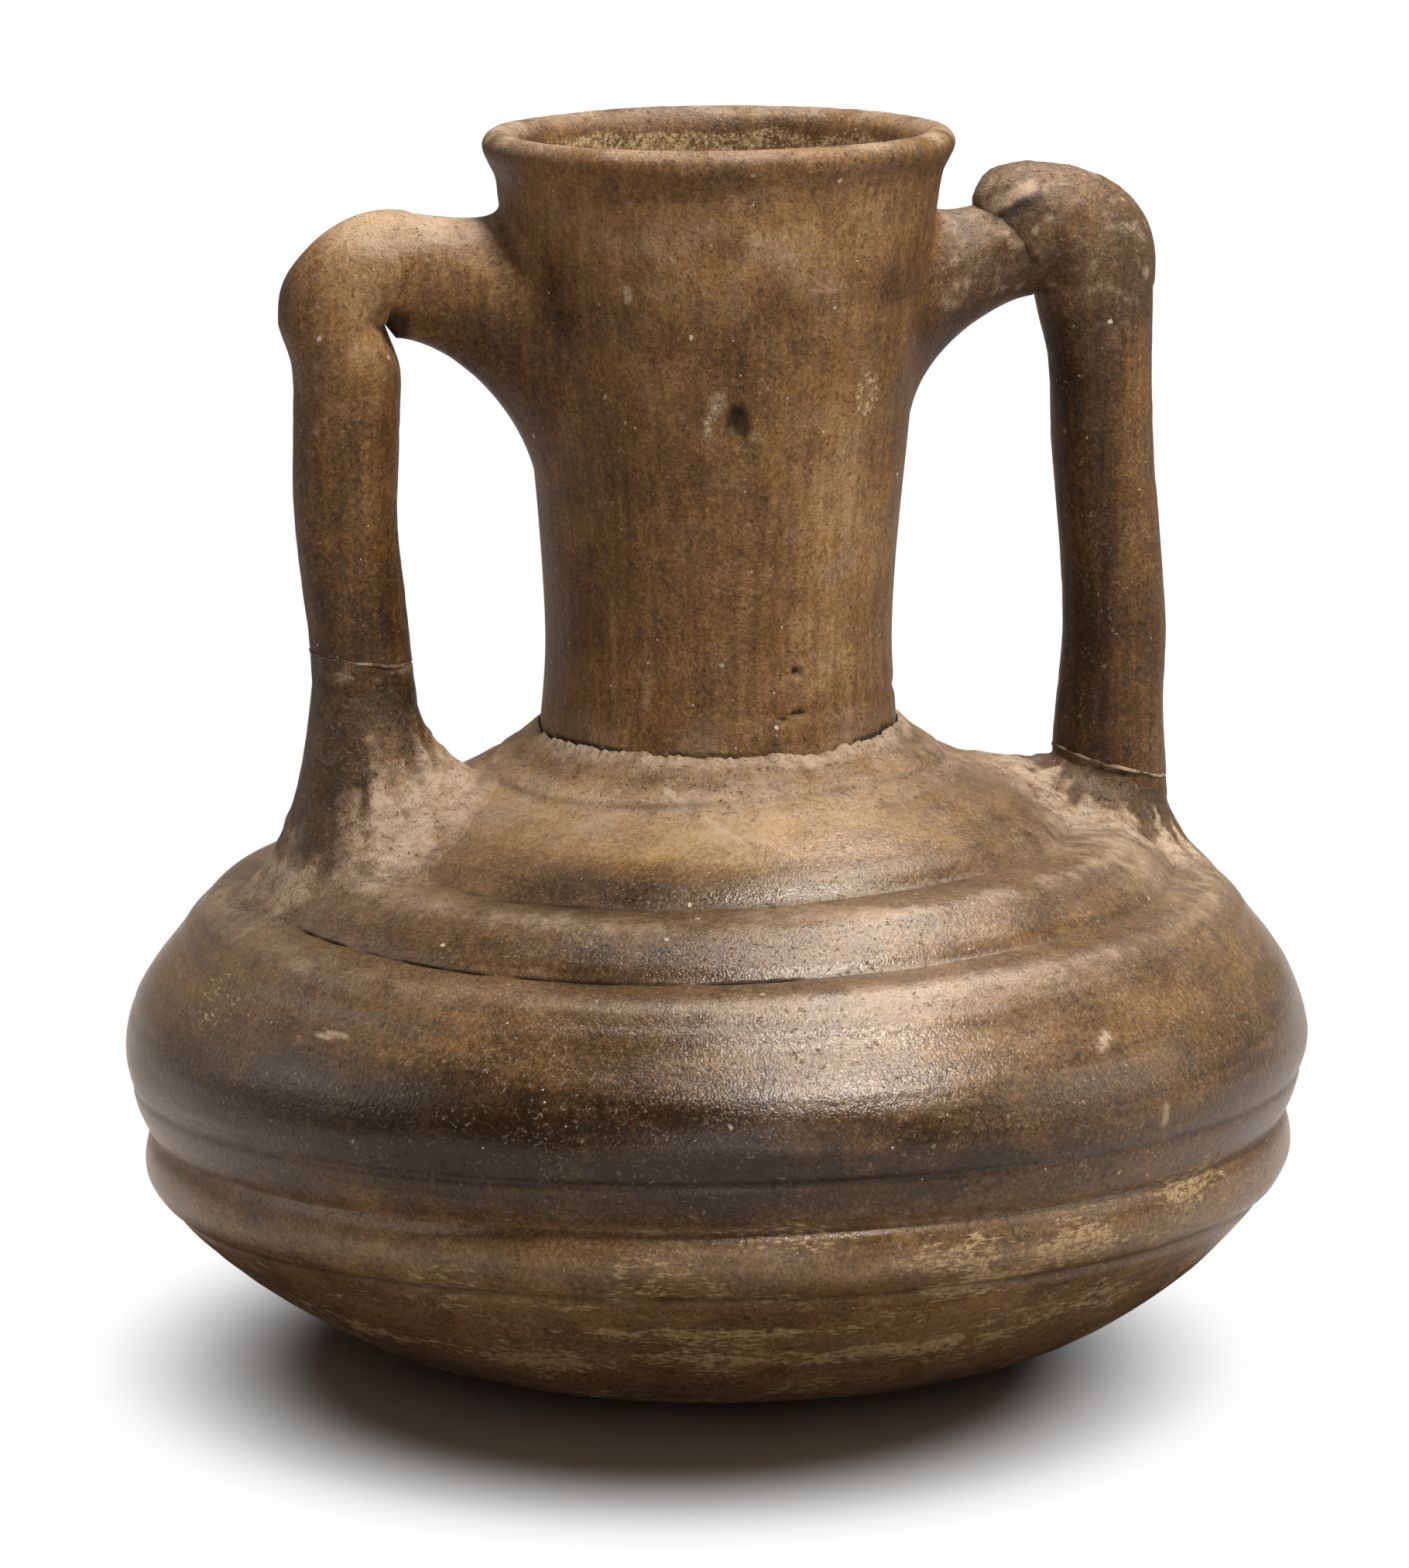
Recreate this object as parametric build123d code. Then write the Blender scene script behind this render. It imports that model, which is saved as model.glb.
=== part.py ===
"""A hand-built two-handled ribbed flask of burnished earthenware, piece by piece.

Millimetres, +Z up, origin at the centre of the rest face. X runs through the two handles,
with the left handle on the -X side.
"""
import math
import os
from dataclasses import dataclass

from build123d import *

# Walls
body_wall = 5.5
floor_wall = 6.5
neck_wall = 4.2

# Widest radius of the body, and how far the seams below and above it stand back
belly_radius = 85.0
bowl_seam_setback = 5.2
notch_setback = 3.5
under_belly_setback = 0.7
belly_upper_setback = 8.0
belly_groove_setback = 19.0
shoulder_groove_setback = 34.0

# Base bowl
rest_radius = 42.0
floor_edge_inset = 8.0
bowl_height = 20.0
bowl_bulge = 4.5
bowl_seam_lean = -28.0

# Lower coil, the soft ridge under the belly
lower_coil_height = 10.0
lower_coil_bulge = 1.9
notch_lean = -4.0

# Under-belly coil, the sloping band between the notch and the full round of the belly
under_belly_height = 7.0
under_belly_bulge = 0.3
under_belly_lean = -2.0

# Belly coil
belly_height = 27.8
belly_crest_height = 5.5
belly_upper_drop = 7.4
belly_groove_lean = 52.0

# Shoulder coil, between the two grooves
shoulder_rise = 6.4
shoulder_bulge = 1.7
shoulder_groove_lean = 62.0

# Collar coil, up to the foot of the neck
collar_rise = 9.8
collar_bulge = 0.9
collar_top_width = 7.4

# Luting bead in the corner at the foot of the neck
bead_rise = 4.4
bead_crest_width = 3.0
bead_crest_rise = 5.0
bead_overlap = 3.6

# Neck tube: its narrowest radius, and how far the rest of it stands out from that
neck_waist_radius = 24.5
neck_height = 78.0
neck_foot_flare = 0.9
neck_waist_height = 15.0
neck_mid_flare = 1.3
neck_mid_height = 36.0
neck_upper_flare = 3.8
neck_upper_drop = 21.0
neck_top_flare = 6.4

# Rim coil
lip_height = 8.0
lip_overhang = 1.8
lip_outer_height = 5.0
lip_crown_inset = 2.9
lip_width = 5.8
lip_inner_height = 6.6

# Handles: the clay roll, and how far its bends, ends and wads differ from it
roll_radius = 7.5
elbow_inner_radius = 0.4
lap_tail = 1.0
arm_tip_inset = 0.15
arm_tip_narrowing = 0.3
arm_mid_swell = 0.6
arm_mid_deepening = 1.7
arm_mid_distance = 8.5
arm_root_swell = 3.0
arm_root_depth = 6.0
adhesive_thickness = 0.5
foot_depth = 14.0
wad_top_ledge = 0.8
wad_flare_share = 0.45
wad_flare_ledge = 2.4
wad_hem_spread = 11.5
wad_hem_depth = 1.6
wad_hem_tilt = 23.0

# Levels, stacked from the rest face
bowl_seam_z = bowl_height
notch_z = bowl_seam_z + lower_coil_height
under_belly_z = notch_z + under_belly_height
belly_crest_z = under_belly_z + belly_crest_height
belly_groove_z = under_belly_z + belly_height
shoulder_groove_z = belly_groove_z + shoulder_rise
collar_top_z = shoulder_groove_z + collar_rise
neck_seat_z = collar_top_z + bead_rise
rim_seam_z = neck_seat_z + neck_height
crown_z = rim_seam_z + lip_height

# Radii worked out from the belly's and the neck's
belly_groove_radius = belly_radius - belly_groove_setback
shoulder_groove_radius = belly_radius - shoulder_groove_setback
neck_foot_radius = neck_waist_radius + neck_foot_flare
neck_upper_radius = neck_waist_radius + neck_upper_flare
neck_top_radius = neck_waist_radius + neck_top_flare
lip_radius = neck_top_radius + lip_overhang
elbow_bend_radius = roll_radius + elbow_inner_radius


@dataclass(frozen=True)
class HandleSizes:
    """Sizes that differ between the two hand-rolled handles."""

    side: int
    elbow_reach: float
    elbow_drop: float
    arm_root_drop: float
    arm_root_half_height: float
    foot_reach: float
    break_height: float
    wad_height: float


handles = {
    "left": HandleSizes(
        side=-1,
        elbow_reach=23.4,
        elbow_drop=7.0,
        arm_root_drop=19.0,
        arm_root_half_height=17.5,
        foot_reach=-1.0,
        break_height=28.0,
        wad_height=19.0,
    ),
    "right": HandleSizes(
        side=1,
        elbow_reach=25.2,
        elbow_drop=2.5,
        arm_root_drop=18.5,
        arm_root_half_height=15.0,
        foot_reach=7.2,
        break_height=10.5,
        wad_height=8.0,
    ),
}


def inward(point, lean, wall):
    """The inner end of a seam: a wall's thickness in from its outer end, leaning by degrees."""
    radius, height = point
    angle = math.radians(lean)
    return (radius - wall * math.cos(angle), height - wall * math.sin(angle))


def flat(point):
    """A radius and a height as a point of the XZ plane."""
    return (point[0], 0, point[1])


def turned(edges):
    """The solid of revolution about Z of a closed outline in the XZ plane."""
    return revolve(make_face(Wire(edges)), Axis.Z)


def bulged(start, end, bulge):
    """An arc between two points that stands out from its chord, to the right of its run."""
    run = (end[0] - start[0], end[1] - start[1])
    length = math.hypot(*run)
    crest = (
        (start[0] + end[0]) / 2 + bulge * run[1] / length,
        (start[1] + end[1]) / 2 - bulge * run[0] / length,
    )
    return ThreePointArc(flat(start), flat(crest), flat(end))


# Outer and inner ends of the seams
bowl_seam = (belly_radius - bowl_seam_setback, bowl_seam_z)
notch = (belly_radius - notch_setback, notch_z)
under_belly = (belly_radius - under_belly_setback, under_belly_z)
belly_groove = (belly_groove_radius, belly_groove_z)
shoulder_groove = (shoulder_groove_radius, shoulder_groove_z)
collar_top = (neck_foot_radius + collar_top_width, collar_top_z)
neck_seat = (neck_foot_radius, neck_seat_z)
rim_seam = (neck_top_radius, rim_seam_z)

bowl_seam_in = inward(bowl_seam, bowl_seam_lean, body_wall)
notch_in = inward(notch, notch_lean, body_wall)
under_belly_in = inward(under_belly, under_belly_lean, body_wall)
belly_groove_in = inward(belly_groove, belly_groove_lean, body_wall)
shoulder_groove_in = inward(shoulder_groove, shoulder_groove_lean, body_wall)
neck_seat_in = (neck_foot_radius - neck_wall, neck_seat_z)
rim_seam_in = (neck_top_radius - neck_wall, rim_seam_z)


# Outer curves, each from its lower seam to its upper one
def bowl_curve():
    """The underside of the bowl, from the rest face to the first seam."""
    return bulged((rest_radius, 0), bowl_seam, bowl_bulge)


def lower_coil_curve():
    """The soft ridge under the belly."""
    return bulged(bowl_seam, notch, lower_coil_bulge)


def under_belly_curve():
    """The sloping band out of the notch."""
    return bulged(notch, under_belly, under_belly_bulge)


def belly_curve():
    """The full round of the belly."""
    crest = (belly_radius, belly_crest_z)
    upper = (belly_radius - belly_upper_setback, belly_groove_z - belly_upper_drop)
    return Spline([flat(p) for p in (under_belly, crest, upper, belly_groove)])


def shoulder_curve():
    """The rounded band between the two grooves."""
    return bulged(belly_groove, shoulder_groove, shoulder_bulge)


def collar_curve():
    """The flat cone that carries the neck."""
    return bulged(shoulder_groove, collar_top, collar_bulge)


def neck_points(offset):
    """The neck's outline, moved in from its outside by an offset."""
    outline = (
        (neck_foot_radius, 0.0),
        (neck_waist_radius, neck_waist_height),
        (neck_waist_radius + neck_mid_flare, neck_mid_height),
        (neck_upper_radius, neck_height - neck_upper_drop),
        (neck_top_radius, neck_height),
    )
    return [flat((radius - offset, neck_seat_z + height)) for radius, height in outline]


# Body pieces
def base_bowl():
    """The bottom dish with its flat rest face."""
    floor_edge = (rest_radius - floor_edge_inset, floor_wall)
    return turned([
        Line(flat((0, 0)), flat((rest_radius, 0))),
        bowl_curve(),
        Line(flat(bowl_seam), flat(bowl_seam_in)),
        bulged(bowl_seam_in, floor_edge, -bowl_bulge),
        Line(flat(floor_edge), flat((0, floor_wall))),
        Line(flat((0, floor_wall)), flat((0, 0))),
    ])


def lower_coil():
    """The ridge ring between the bowl and the belly."""
    return turned([
        lower_coil_curve(),
        Line(flat(notch), flat(notch_in)),
        Line(flat(notch_in), flat(bowl_seam_in)),
        Line(flat(bowl_seam_in), flat(bowl_seam)),
    ])


def under_belly_coil():
    """The sloping ring between the notch and the belly."""
    return turned([
        under_belly_curve(),
        Line(flat(under_belly), flat(under_belly_in)),
        Line(flat(under_belly_in), flat(notch_in)),
        Line(flat(notch_in), flat(notch)),
    ])


def belly_coil():
    """The widest ring of the body."""
    inner_crest = (belly_radius - body_wall, belly_crest_z)
    return turned([
        belly_curve(),
        Line(flat(belly_groove), flat(belly_groove_in)),
        Spline([flat(p) for p in (belly_groove_in, inner_crest, under_belly_in)]),
        Line(flat(under_belly_in), flat(under_belly)),
    ])


def shoulder_coil():
    """The ring between the two shoulder grooves."""
    return turned([
        shoulder_curve(),
        Line(flat(shoulder_groove), flat(shoulder_groove_in)),
        Line(flat(shoulder_groove_in), flat(belly_groove_in)),
        Line(flat(belly_groove_in), flat(belly_groove)),
    ])


def collar_coil():
    """The flat cone with the seat that the neck stands on."""
    throat = (neck_foot_radius - neck_wall, collar_top_z)
    return turned([
        collar_curve(),
        Line(flat(collar_top), flat(neck_seat)),
        Line(flat(neck_seat), flat(neck_seat_in)),
        Line(flat(neck_seat_in), flat(throat)),
        Line(flat(throat), flat(shoulder_groove_in)),
        Line(flat(shoulder_groove_in), flat(shoulder_groove)),
    ])


def neck_tube():
    """The waisted tube between the collar and the rim."""
    outer = neck_points(0)
    inner = neck_points(neck_wall)
    return turned([
        Spline(outer),
        Line(outer[-1], inner[-1]),
        Spline(inner[::-1]),
        Line(inner[0], outer[0]),
    ])


def neck_luting_bead():
    """The ring of clay wiped into the corner between collar and neck."""
    crest = (neck_foot_radius + bead_crest_width, collar_top_z + bead_crest_rise)
    upper_edge = (neck_waist_radius, neck_seat_z + bead_overlap)
    corner = (neck_waist_radius, collar_top_z)
    blank = turned([
        ThreePointArc(flat(collar_top), flat(crest), flat(upper_edge)),
        Line(flat(upper_edge), flat(corner)),
        Line(flat(corner), flat(collar_top)),
    ])
    return blank - collar_coil() - neck_core()


def neck_core():
    """The neck filled solid, which cuts what seats against it."""
    outer = neck_points(0)
    return turned([
        Spline(outer),
        Line(outer[-1], flat((0, rim_seam_z))),
        Line(flat((0, rim_seam_z)), flat((0, neck_seat_z))),
        Line(flat((0, neck_seat_z)), outer[0]),
    ])


def rim_coil():
    """The rolled, everted lip."""
    outer = (lip_radius, rim_seam_z + lip_outer_height)
    crown = (lip_radius - lip_crown_inset, crown_z)
    inner = (lip_radius - lip_width, rim_seam_z + lip_inner_height)
    return turned([
        Spline(
            [flat(p) for p in (rim_seam, outer, crown, inner)],
            tangents=[(0.3, 0, 1), (0, 0, 1), (-1, 0, 0), (0, 0, -1)],
        ),
        Line(flat(inner), flat(rim_seam_in)),
        Line(flat(rim_seam_in), flat(rim_seam)),
    ])


def body_core():
    """The body below the neck filled solid, which cuts what seats on the shoulder."""
    return turned([
        Line(flat((0, 0)), flat((rest_radius, 0))),
        bowl_curve(),
        lower_coil_curve(),
        under_belly_curve(),
        belly_curve(),
        shoulder_curve(),
        collar_curve(),
        Line(flat(collar_top), flat(neck_seat)),
        Line(flat(neck_seat), flat((0, neck_seat_z))),
        Line(flat((0, neck_seat_z)), flat((0, 0))),
    ])


# Handle pieces
@dataclass(frozen=True)
class HandleLines:
    """The lines that a handle's pieces share: elbow corner, foot, break and arm root."""

    sizes: HandleSizes

    @property
    def elbow(self):
        """The corner where the centre lines of arm and post meet."""
        reach = neck_top_radius + self.sizes.elbow_reach
        return Vector(self.sizes.side * reach, 0, rim_seam_z - self.sizes.elbow_drop)

    @property
    def foot(self):
        """The point where the post's centre line meets the slope between the two grooves."""
        fall = shoulder_rise / (belly_groove_radius - shoulder_groove_radius)
        reach = shoulder_groove_radius + self.sizes.foot_reach
        return Vector(self.sizes.side * reach, 0, shoulder_groove_z - self.sizes.foot_reach * fall)

    @property
    def rise(self):
        """The direction of the post, upwards."""
        return (self.elbow - self.foot).normalized()

    @property
    def arm_root(self):
        """The point on the neck's outside that the arm points at."""
        return Vector(self.sizes.side * neck_upper_radius, 0, rim_seam_z - self.sizes.arm_root_drop)

    @property
    def lap(self):
        """The point where the bent-over post stops and the arm begins."""
        along = (self.arm_root - self.elbow).normalized()
        turn = math.radians(along.get_angle(self.rise * -1))
        return self.elbow + along * (elbow_bend_radius / math.tan(turn / 2) + lap_tail)

    def tilted_plane(self, tilt, height):
        """A plane at the foot, tipped outwards by degrees and raised along its own normal."""
        up = Vector(0, 0, 1).rotate(Axis.Y, self.sizes.side * tilt)
        return Plane(origin=self.foot + up * height, x_dir=(0, 1, 0), z_dir=up)

    def post_plane(self, height):
        """The plane across the post at a height along it above the foot."""
        return Plane(origin=self.foot + self.rise * height, x_dir=(0, 1, 0), z_dir=self.rise)


def handle_post(lines):
    """The upright roll with its bent-over top, from the break to the lap."""
    start = lines.foot + lines.rise * (lines.sizes.break_height + adhesive_thickness)
    path = FilletPolyline([start, lines.elbow, lines.lap], radius=elbow_bend_radius)
    section = Plane(origin=start, x_dir=(0, 1, 0), z_dir=lines.rise) * Circle(roll_radius)
    return sweep(section, path=path)


def handle_adhesive(lines):
    """The thin film that holds the post to its stump."""
    film = Circle(roll_radius)
    return extrude(lines.post_plane(lines.sizes.break_height) * film, adhesive_thickness)


def foot_roll(lines):
    """The roll below the break, run on into the body for cutting."""
    length = foot_depth + lines.sizes.break_height
    return extrude(lines.post_plane(-foot_depth) * Circle(roll_radius), length)


def handle_stump(lines, core):
    """The foot of the post below the break, seated on the shoulder."""
    return foot_roll(lines) - core


def handle_root_wad(lines, core, bead):
    """The flared clay round the foot, outside the stump and on the shoulder."""
    sizes = lines.sizes
    ledge = roll_radius + wad_top_ledge
    hem = lines.tilted_plane(wad_hem_tilt, -wad_hem_depth)
    flare = lines.tilted_plane(wad_hem_tilt / 2, sizes.wad_height * wad_flare_share)
    blank = loft([
        hem * Circle(roll_radius + wad_hem_spread),
        flare * Circle(ledge + wad_flare_ledge),
        lines.post_plane(sizes.wad_height) * Circle(ledge),
    ])
    return blank - foot_roll(lines) - core - bead


def handle_arm(lines, neck, rim):
    """The roll from the lap to the neck, wiped out wide where it meets the neck."""
    along = (lines.arm_root - lines.lap).normalized()
    length = (lines.arm_root - lines.lap).length

    def section(distance, swell, half_height):
        place = Plane(origin=lines.lap + along * distance, x_dir=(0, 1, 0), z_dir=along)
        return place * Ellipse(roll_radius + swell, half_height)

    blank = loft([
        section(0, -arm_tip_narrowing, roll_radius - arm_tip_inset),
        section(length - arm_mid_distance, arm_mid_swell, roll_radius + arm_mid_deepening),
        section(length + arm_root_depth, arm_root_swell, lines.sizes.arm_root_half_height),
    ])
    return blank - neck - rim


def build():
    """All pieces of the flask by name."""
    core = body_core()
    neck = neck_core()
    bead = neck_luting_bead()
    rim = rim_coil()
    pieces = {
        "base_bowl": base_bowl(),
        "lower_coil": lower_coil(),
        "under_belly_coil": under_belly_coil(),
        "belly_coil": belly_coil(),
        "shoulder_coil": shoulder_coil(),
        "collar_coil": collar_coil(),
        "neck_luting_bead": bead,
        "neck_tube": neck_tube(),
        "rim_coil": rim,
    }
    for name, sizes in handles.items():
        lines = HandleLines(sizes)
        pieces[f"{name}_handle_arm"] = handle_arm(lines, neck, rim)
        pieces[f"{name}_handle_post"] = handle_post(lines)
        pieces[f"{name}_handle_adhesive"] = handle_adhesive(lines)
        pieces[f"{name}_handle_stump"] = handle_stump(lines, core)
        pieces[f"{name}_handle_root_wad"] = handle_root_wad(lines, core, bead)
    return pieces


os.makedirs("parts", exist_ok=True)
for node, solid in build().items():
    export_step(solid, f"parts/{node}.step")
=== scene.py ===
"""Looks of a hand-built two-handled flask of burnished earthenware, made around its fixed frame.

Shapes are worked out in millimetres in the flask's own frame and written to the meshes in metres.
Angles round the pot are measured from the side that faces the viewer, positive to the right.
"""

import logging
import math
from dataclasses import dataclass
from enum import Enum, IntEnum

import bpy
import numpy as np
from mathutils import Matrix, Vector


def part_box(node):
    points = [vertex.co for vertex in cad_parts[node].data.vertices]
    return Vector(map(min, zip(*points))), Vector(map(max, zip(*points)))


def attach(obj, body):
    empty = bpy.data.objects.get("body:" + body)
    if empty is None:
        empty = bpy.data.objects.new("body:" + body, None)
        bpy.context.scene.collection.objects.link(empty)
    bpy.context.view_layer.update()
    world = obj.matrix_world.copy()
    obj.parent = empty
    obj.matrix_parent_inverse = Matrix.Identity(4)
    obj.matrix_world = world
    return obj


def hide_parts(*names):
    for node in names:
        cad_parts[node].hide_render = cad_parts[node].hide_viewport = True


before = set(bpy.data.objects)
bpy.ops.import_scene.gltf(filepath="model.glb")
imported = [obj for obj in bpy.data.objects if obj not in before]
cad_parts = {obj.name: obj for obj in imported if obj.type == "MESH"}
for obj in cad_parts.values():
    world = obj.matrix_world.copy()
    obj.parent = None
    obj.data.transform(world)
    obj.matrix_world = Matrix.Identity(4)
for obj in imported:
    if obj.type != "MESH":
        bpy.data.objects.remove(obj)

LOG = logging.getLogger("flask")
MM = 0.001
BODY = "root"
PAINT = "paint"
SKIN = "skin"
VIEW_SIDE = math.radians(-13.0)
FULL_TURN = 2 * math.pi
TINY = 1e-6
CURVE_STEPS = 24
TURN_MERGE = 1e-6
CLEAN_MERGE = 2e-6
SMOOTH_ANGLE = math.radians(52)

Array = np.ndarray
Piece = bpy.types.Object
Material = bpy.types.Material
Point = tuple[float, float]
Colour = tuple[float, float, float]


class Slot(Enum):
    """The record's material slots."""

    BODY = "body_clay"
    LUTING = "luting_clay"
    NECK = "neck_clay"
    HANDLE = "handle_clay"
    GLUE = "adhesive"


class Side(Enum):
    """The two handles, by the sign of their place along X."""

    LEFT = -1
    RIGHT = 1


class Grade(IntEnum):
    """The paint's four channels: pale dust, painted dark shade, soil crust, and tone, which holds painted
    light and shade in places.
    """

    DUST = 0
    SHADE = 1
    CRUST = 2
    TONE = 3


# Curves and noise


def ease(low: float, high: float, value: Array) -> Array:
    """A smooth step from 0 at one value to 1 at another.

    Args:
        low: Value at which the step starts.
        high: Value at which the step ends; it may be the smaller one.
        value: Values to step.

    Returns:
        The stepped values, between 0 and 1.
    """
    part = np.clip((np.asarray(value, float) - low) / (high - low), 0, 1)
    return part * part * (3 - 2 * part)


def hump(value: Array, centre: float, half_width: float) -> Array:
    """A smooth bump of height 1 round a centre."""
    return np.exp(-(((value - centre) / half_width) ** 2))


def arc(start: Point, end: Point, bulge: float, count: int) -> Array:
    """A shallow arc between two points.

    Args:
        start: First point, as radius and height.
        end: Last point.
        bulge: How far the middle stands out, to the right of the run.
        count: Number of points.

    Returns:
        The points in a row each.
    """
    share = np.linspace(0, 1, count)[:, None]
    run = np.subtract(end, start)
    out = np.array((run[1], -run[0])) / np.hypot(*run)
    return np.asarray(start) + share * run + 4 * share * (1 - share) * bulge * out


def curve(points: list[tuple[float, ...]], count: int) -> Array:
    """A smooth line through a few points, at even steps of its length.

    Args:
        points: Points to pass, of any one dimension.
        count: Number of points wanted.

    Returns:
        The points of the line in a row each.
    """
    knots = np.asarray(points, float)
    ends = np.vstack((2 * knots[0] - knots[1], knots, 2 * knots[-1] - knots[-2]))
    share = np.linspace(0, 1, CURVE_STEPS, endpoint=False)[:, None]
    spans = []
    for index in range(len(knots) - 1):
        before, start, end, after = ends[index:index + 4]
        spans.append(0.5 * (
            2 * start
            + (end - before) * share
            + (2 * before - 5 * start + 4 * end - after) * share ** 2
            + (3 * start - before - 3 * end + after) * share ** 3
        ))
    return resample(np.vstack(spans + [knots[-1:]]), count)


def resample(line: Array, count: int, gathering: float = 0.0) -> Array:
    """The same line with another number of points.

    Args:
        line: Points in a row each.
        count: Number of points wanted.
        gathering: From 0, even steps, to 1, steps gathered at both ends.

    Returns:
        The new points.
    """
    steps = np.linalg.norm(np.diff(line, axis=0), axis=1)
    along = np.concatenate(([0], np.cumsum(steps))) / steps.sum()
    share = np.linspace(0, 1, count)
    share = share - gathering * np.sin(FULL_TURN * share) / FULL_TURN
    return np.stack([np.interp(share, along, line[:, axis]) for axis in range(line.shape[1])], 1)


def line_length(line: Array) -> float:
    """Length of a line of points."""
    return float(np.linalg.norm(np.diff(line, axis=0), axis=1).sum())


def smooth(values: Array, reach: int, ends: str = "edge") -> Array:
    """A running mean.

    Args:
        values: Values in a row.
        reach: Number of values taken in on either side.
        ends: How the row goes on past its ends, "edge" or "wrap".

    Returns:
        As many values, smoothed.
    """
    window = 2 * reach + 1
    return np.convolve(np.pad(values, reach, mode=ends), np.ones(window) / window, mode="valid")


def unit(vectors: Array) -> Array:
    """The same directions, all of length 1."""
    return vectors / np.maximum(np.linalg.norm(vectors, axis=-1, keepdims=True), TINY)


def circle_spots(angle: Array, radius: float, height: float | Array = 0.0) -> Array:
    """Places on a circle, to read noise at."""
    level = np.zeros_like(angle) + height
    return np.stack((np.cos(angle) * radius, np.sin(angle) * radius, level), -1)


def bands(height: Array, rows: tuple[tuple[float, float | Array, float], ...]) -> Array:
    """Smooth bands round the pot, added up.

    Args:
        height: Height of each point.
        rows: Strength, middle height and half width of each band.

    Returns:
        A value for each point.
    """
    return sum(strength * hump(height, middle, half) for strength, middle, half in rows)


@dataclass(frozen=True)
class Grain:
    """Seeded noise in space, for lumps, drags and ragged edges."""

    seed: int

    def corner_value(self, corner: Array) -> Array:
        """A fixed value between -1 and 1 for each corner of a lattice.

        Args:
            corner: Whole numbers that name a corner, in a row each.

        Returns:
            The values.
        """
        mixed = corner[:, 0] * 73856093 ^ corner[:, 1] * 19349663 ^ corner[:, 2] * 83492791
        mixed = (mixed ^ self.seed * 26544357) & 0x7FFFFFFF
        mixed = (mixed ^ mixed >> 13) * 1274126177 & 0x7FFFFFFF
        mixed = mixed ^ mixed >> 16
        return (mixed & 0xFFFF) / 32767.5 - 1

    def lumps(self, points: Array, cell: float | tuple[float, float, float]) -> Array:
        """Smooth noise between -1 and 1.

        Args:
            points: Points in a row each.
            cell: Size of a lump, one for all axes or one for each.

        Returns:
            A value for each point.
        """
        place = points / np.asarray(cell, float) + 517.3
        corner = np.floor(place).astype(np.int64)
        part = place - corner
        part = part * part * (3 - 2 * part)
        total = np.zeros(len(points))
        for shift in np.ndindex(2, 2, 2):
            weight = np.prod(np.where(shift, part, 1 - part), axis=1)
            total += weight * self.corner_value(corner + np.array(shift))
        return total

    def rough(self, points: Array, cell: float, octaves: int = 3) -> Array:
        """Noise with finer lumps on its lumps, about between -1 and 1."""
        layers = [self.lumps(points, cell / 2 ** n) / 2 ** n for n in range(octaves)]
        return np.sum(layers, axis=0) / 1.4


def view_frame(points: Array) -> tuple[Array, Array, Array]:
    """Where points lie as the viewer sees the pot.

    Args:
        points: Points in a row each.

    Returns:
        The angle from the front, the distance to the right and the distance from the axis.
    """
    right = points[:, 0] * math.cos(VIEW_SIDE) + points[:, 1] * math.sin(VIEW_SIDE)
    near = points[:, 0] * math.sin(VIEW_SIDE) - points[:, 1] * math.cos(VIEW_SIDE)
    return np.arctan2(right, near), right, np.hypot(right, near)


# Mesh making


def deselect() -> None:
    """Leave edit mode, and leave nothing selected."""
    if bpy.context.object and bpy.context.object.mode != "OBJECT":
        bpy.ops.object.mode_set(mode="OBJECT")
    bpy.ops.object.select_all(action="DESELECT")


def read_points(piece: Piece) -> Array:
    """The points of a piece's mesh, in millimetres."""
    flat = np.empty(len(piece.data.vertices) * 3, np.float32)
    piece.data.vertices.foreach_get("co", flat)
    return flat.reshape(-1, 3).astype(float) / MM


def write_points(piece: Piece, points: Array) -> None:
    """Move the points of a piece's mesh to places in millimetres."""
    piece.data.vertices.foreach_set("co", (points * MM).astype(np.float32).ravel())
    piece.data.update()


def clean() -> None:
    """Merge the active piece's doubles, drop its loose edges and turn its faces outwards."""
    bpy.ops.object.mode_set(mode="EDIT")
    bpy.ops.mesh.select_all(action="SELECT")
    bpy.ops.mesh.remove_doubles(threshold=CLEAN_MERGE)
    bpy.ops.mesh.delete_loose(use_verts=True, use_edges=True, use_faces=False)
    bpy.ops.mesh.select_all(action="SELECT")
    bpy.ops.mesh.normals_make_consistent(inside=False)
    bpy.ops.object.mode_set(mode="OBJECT")


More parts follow.
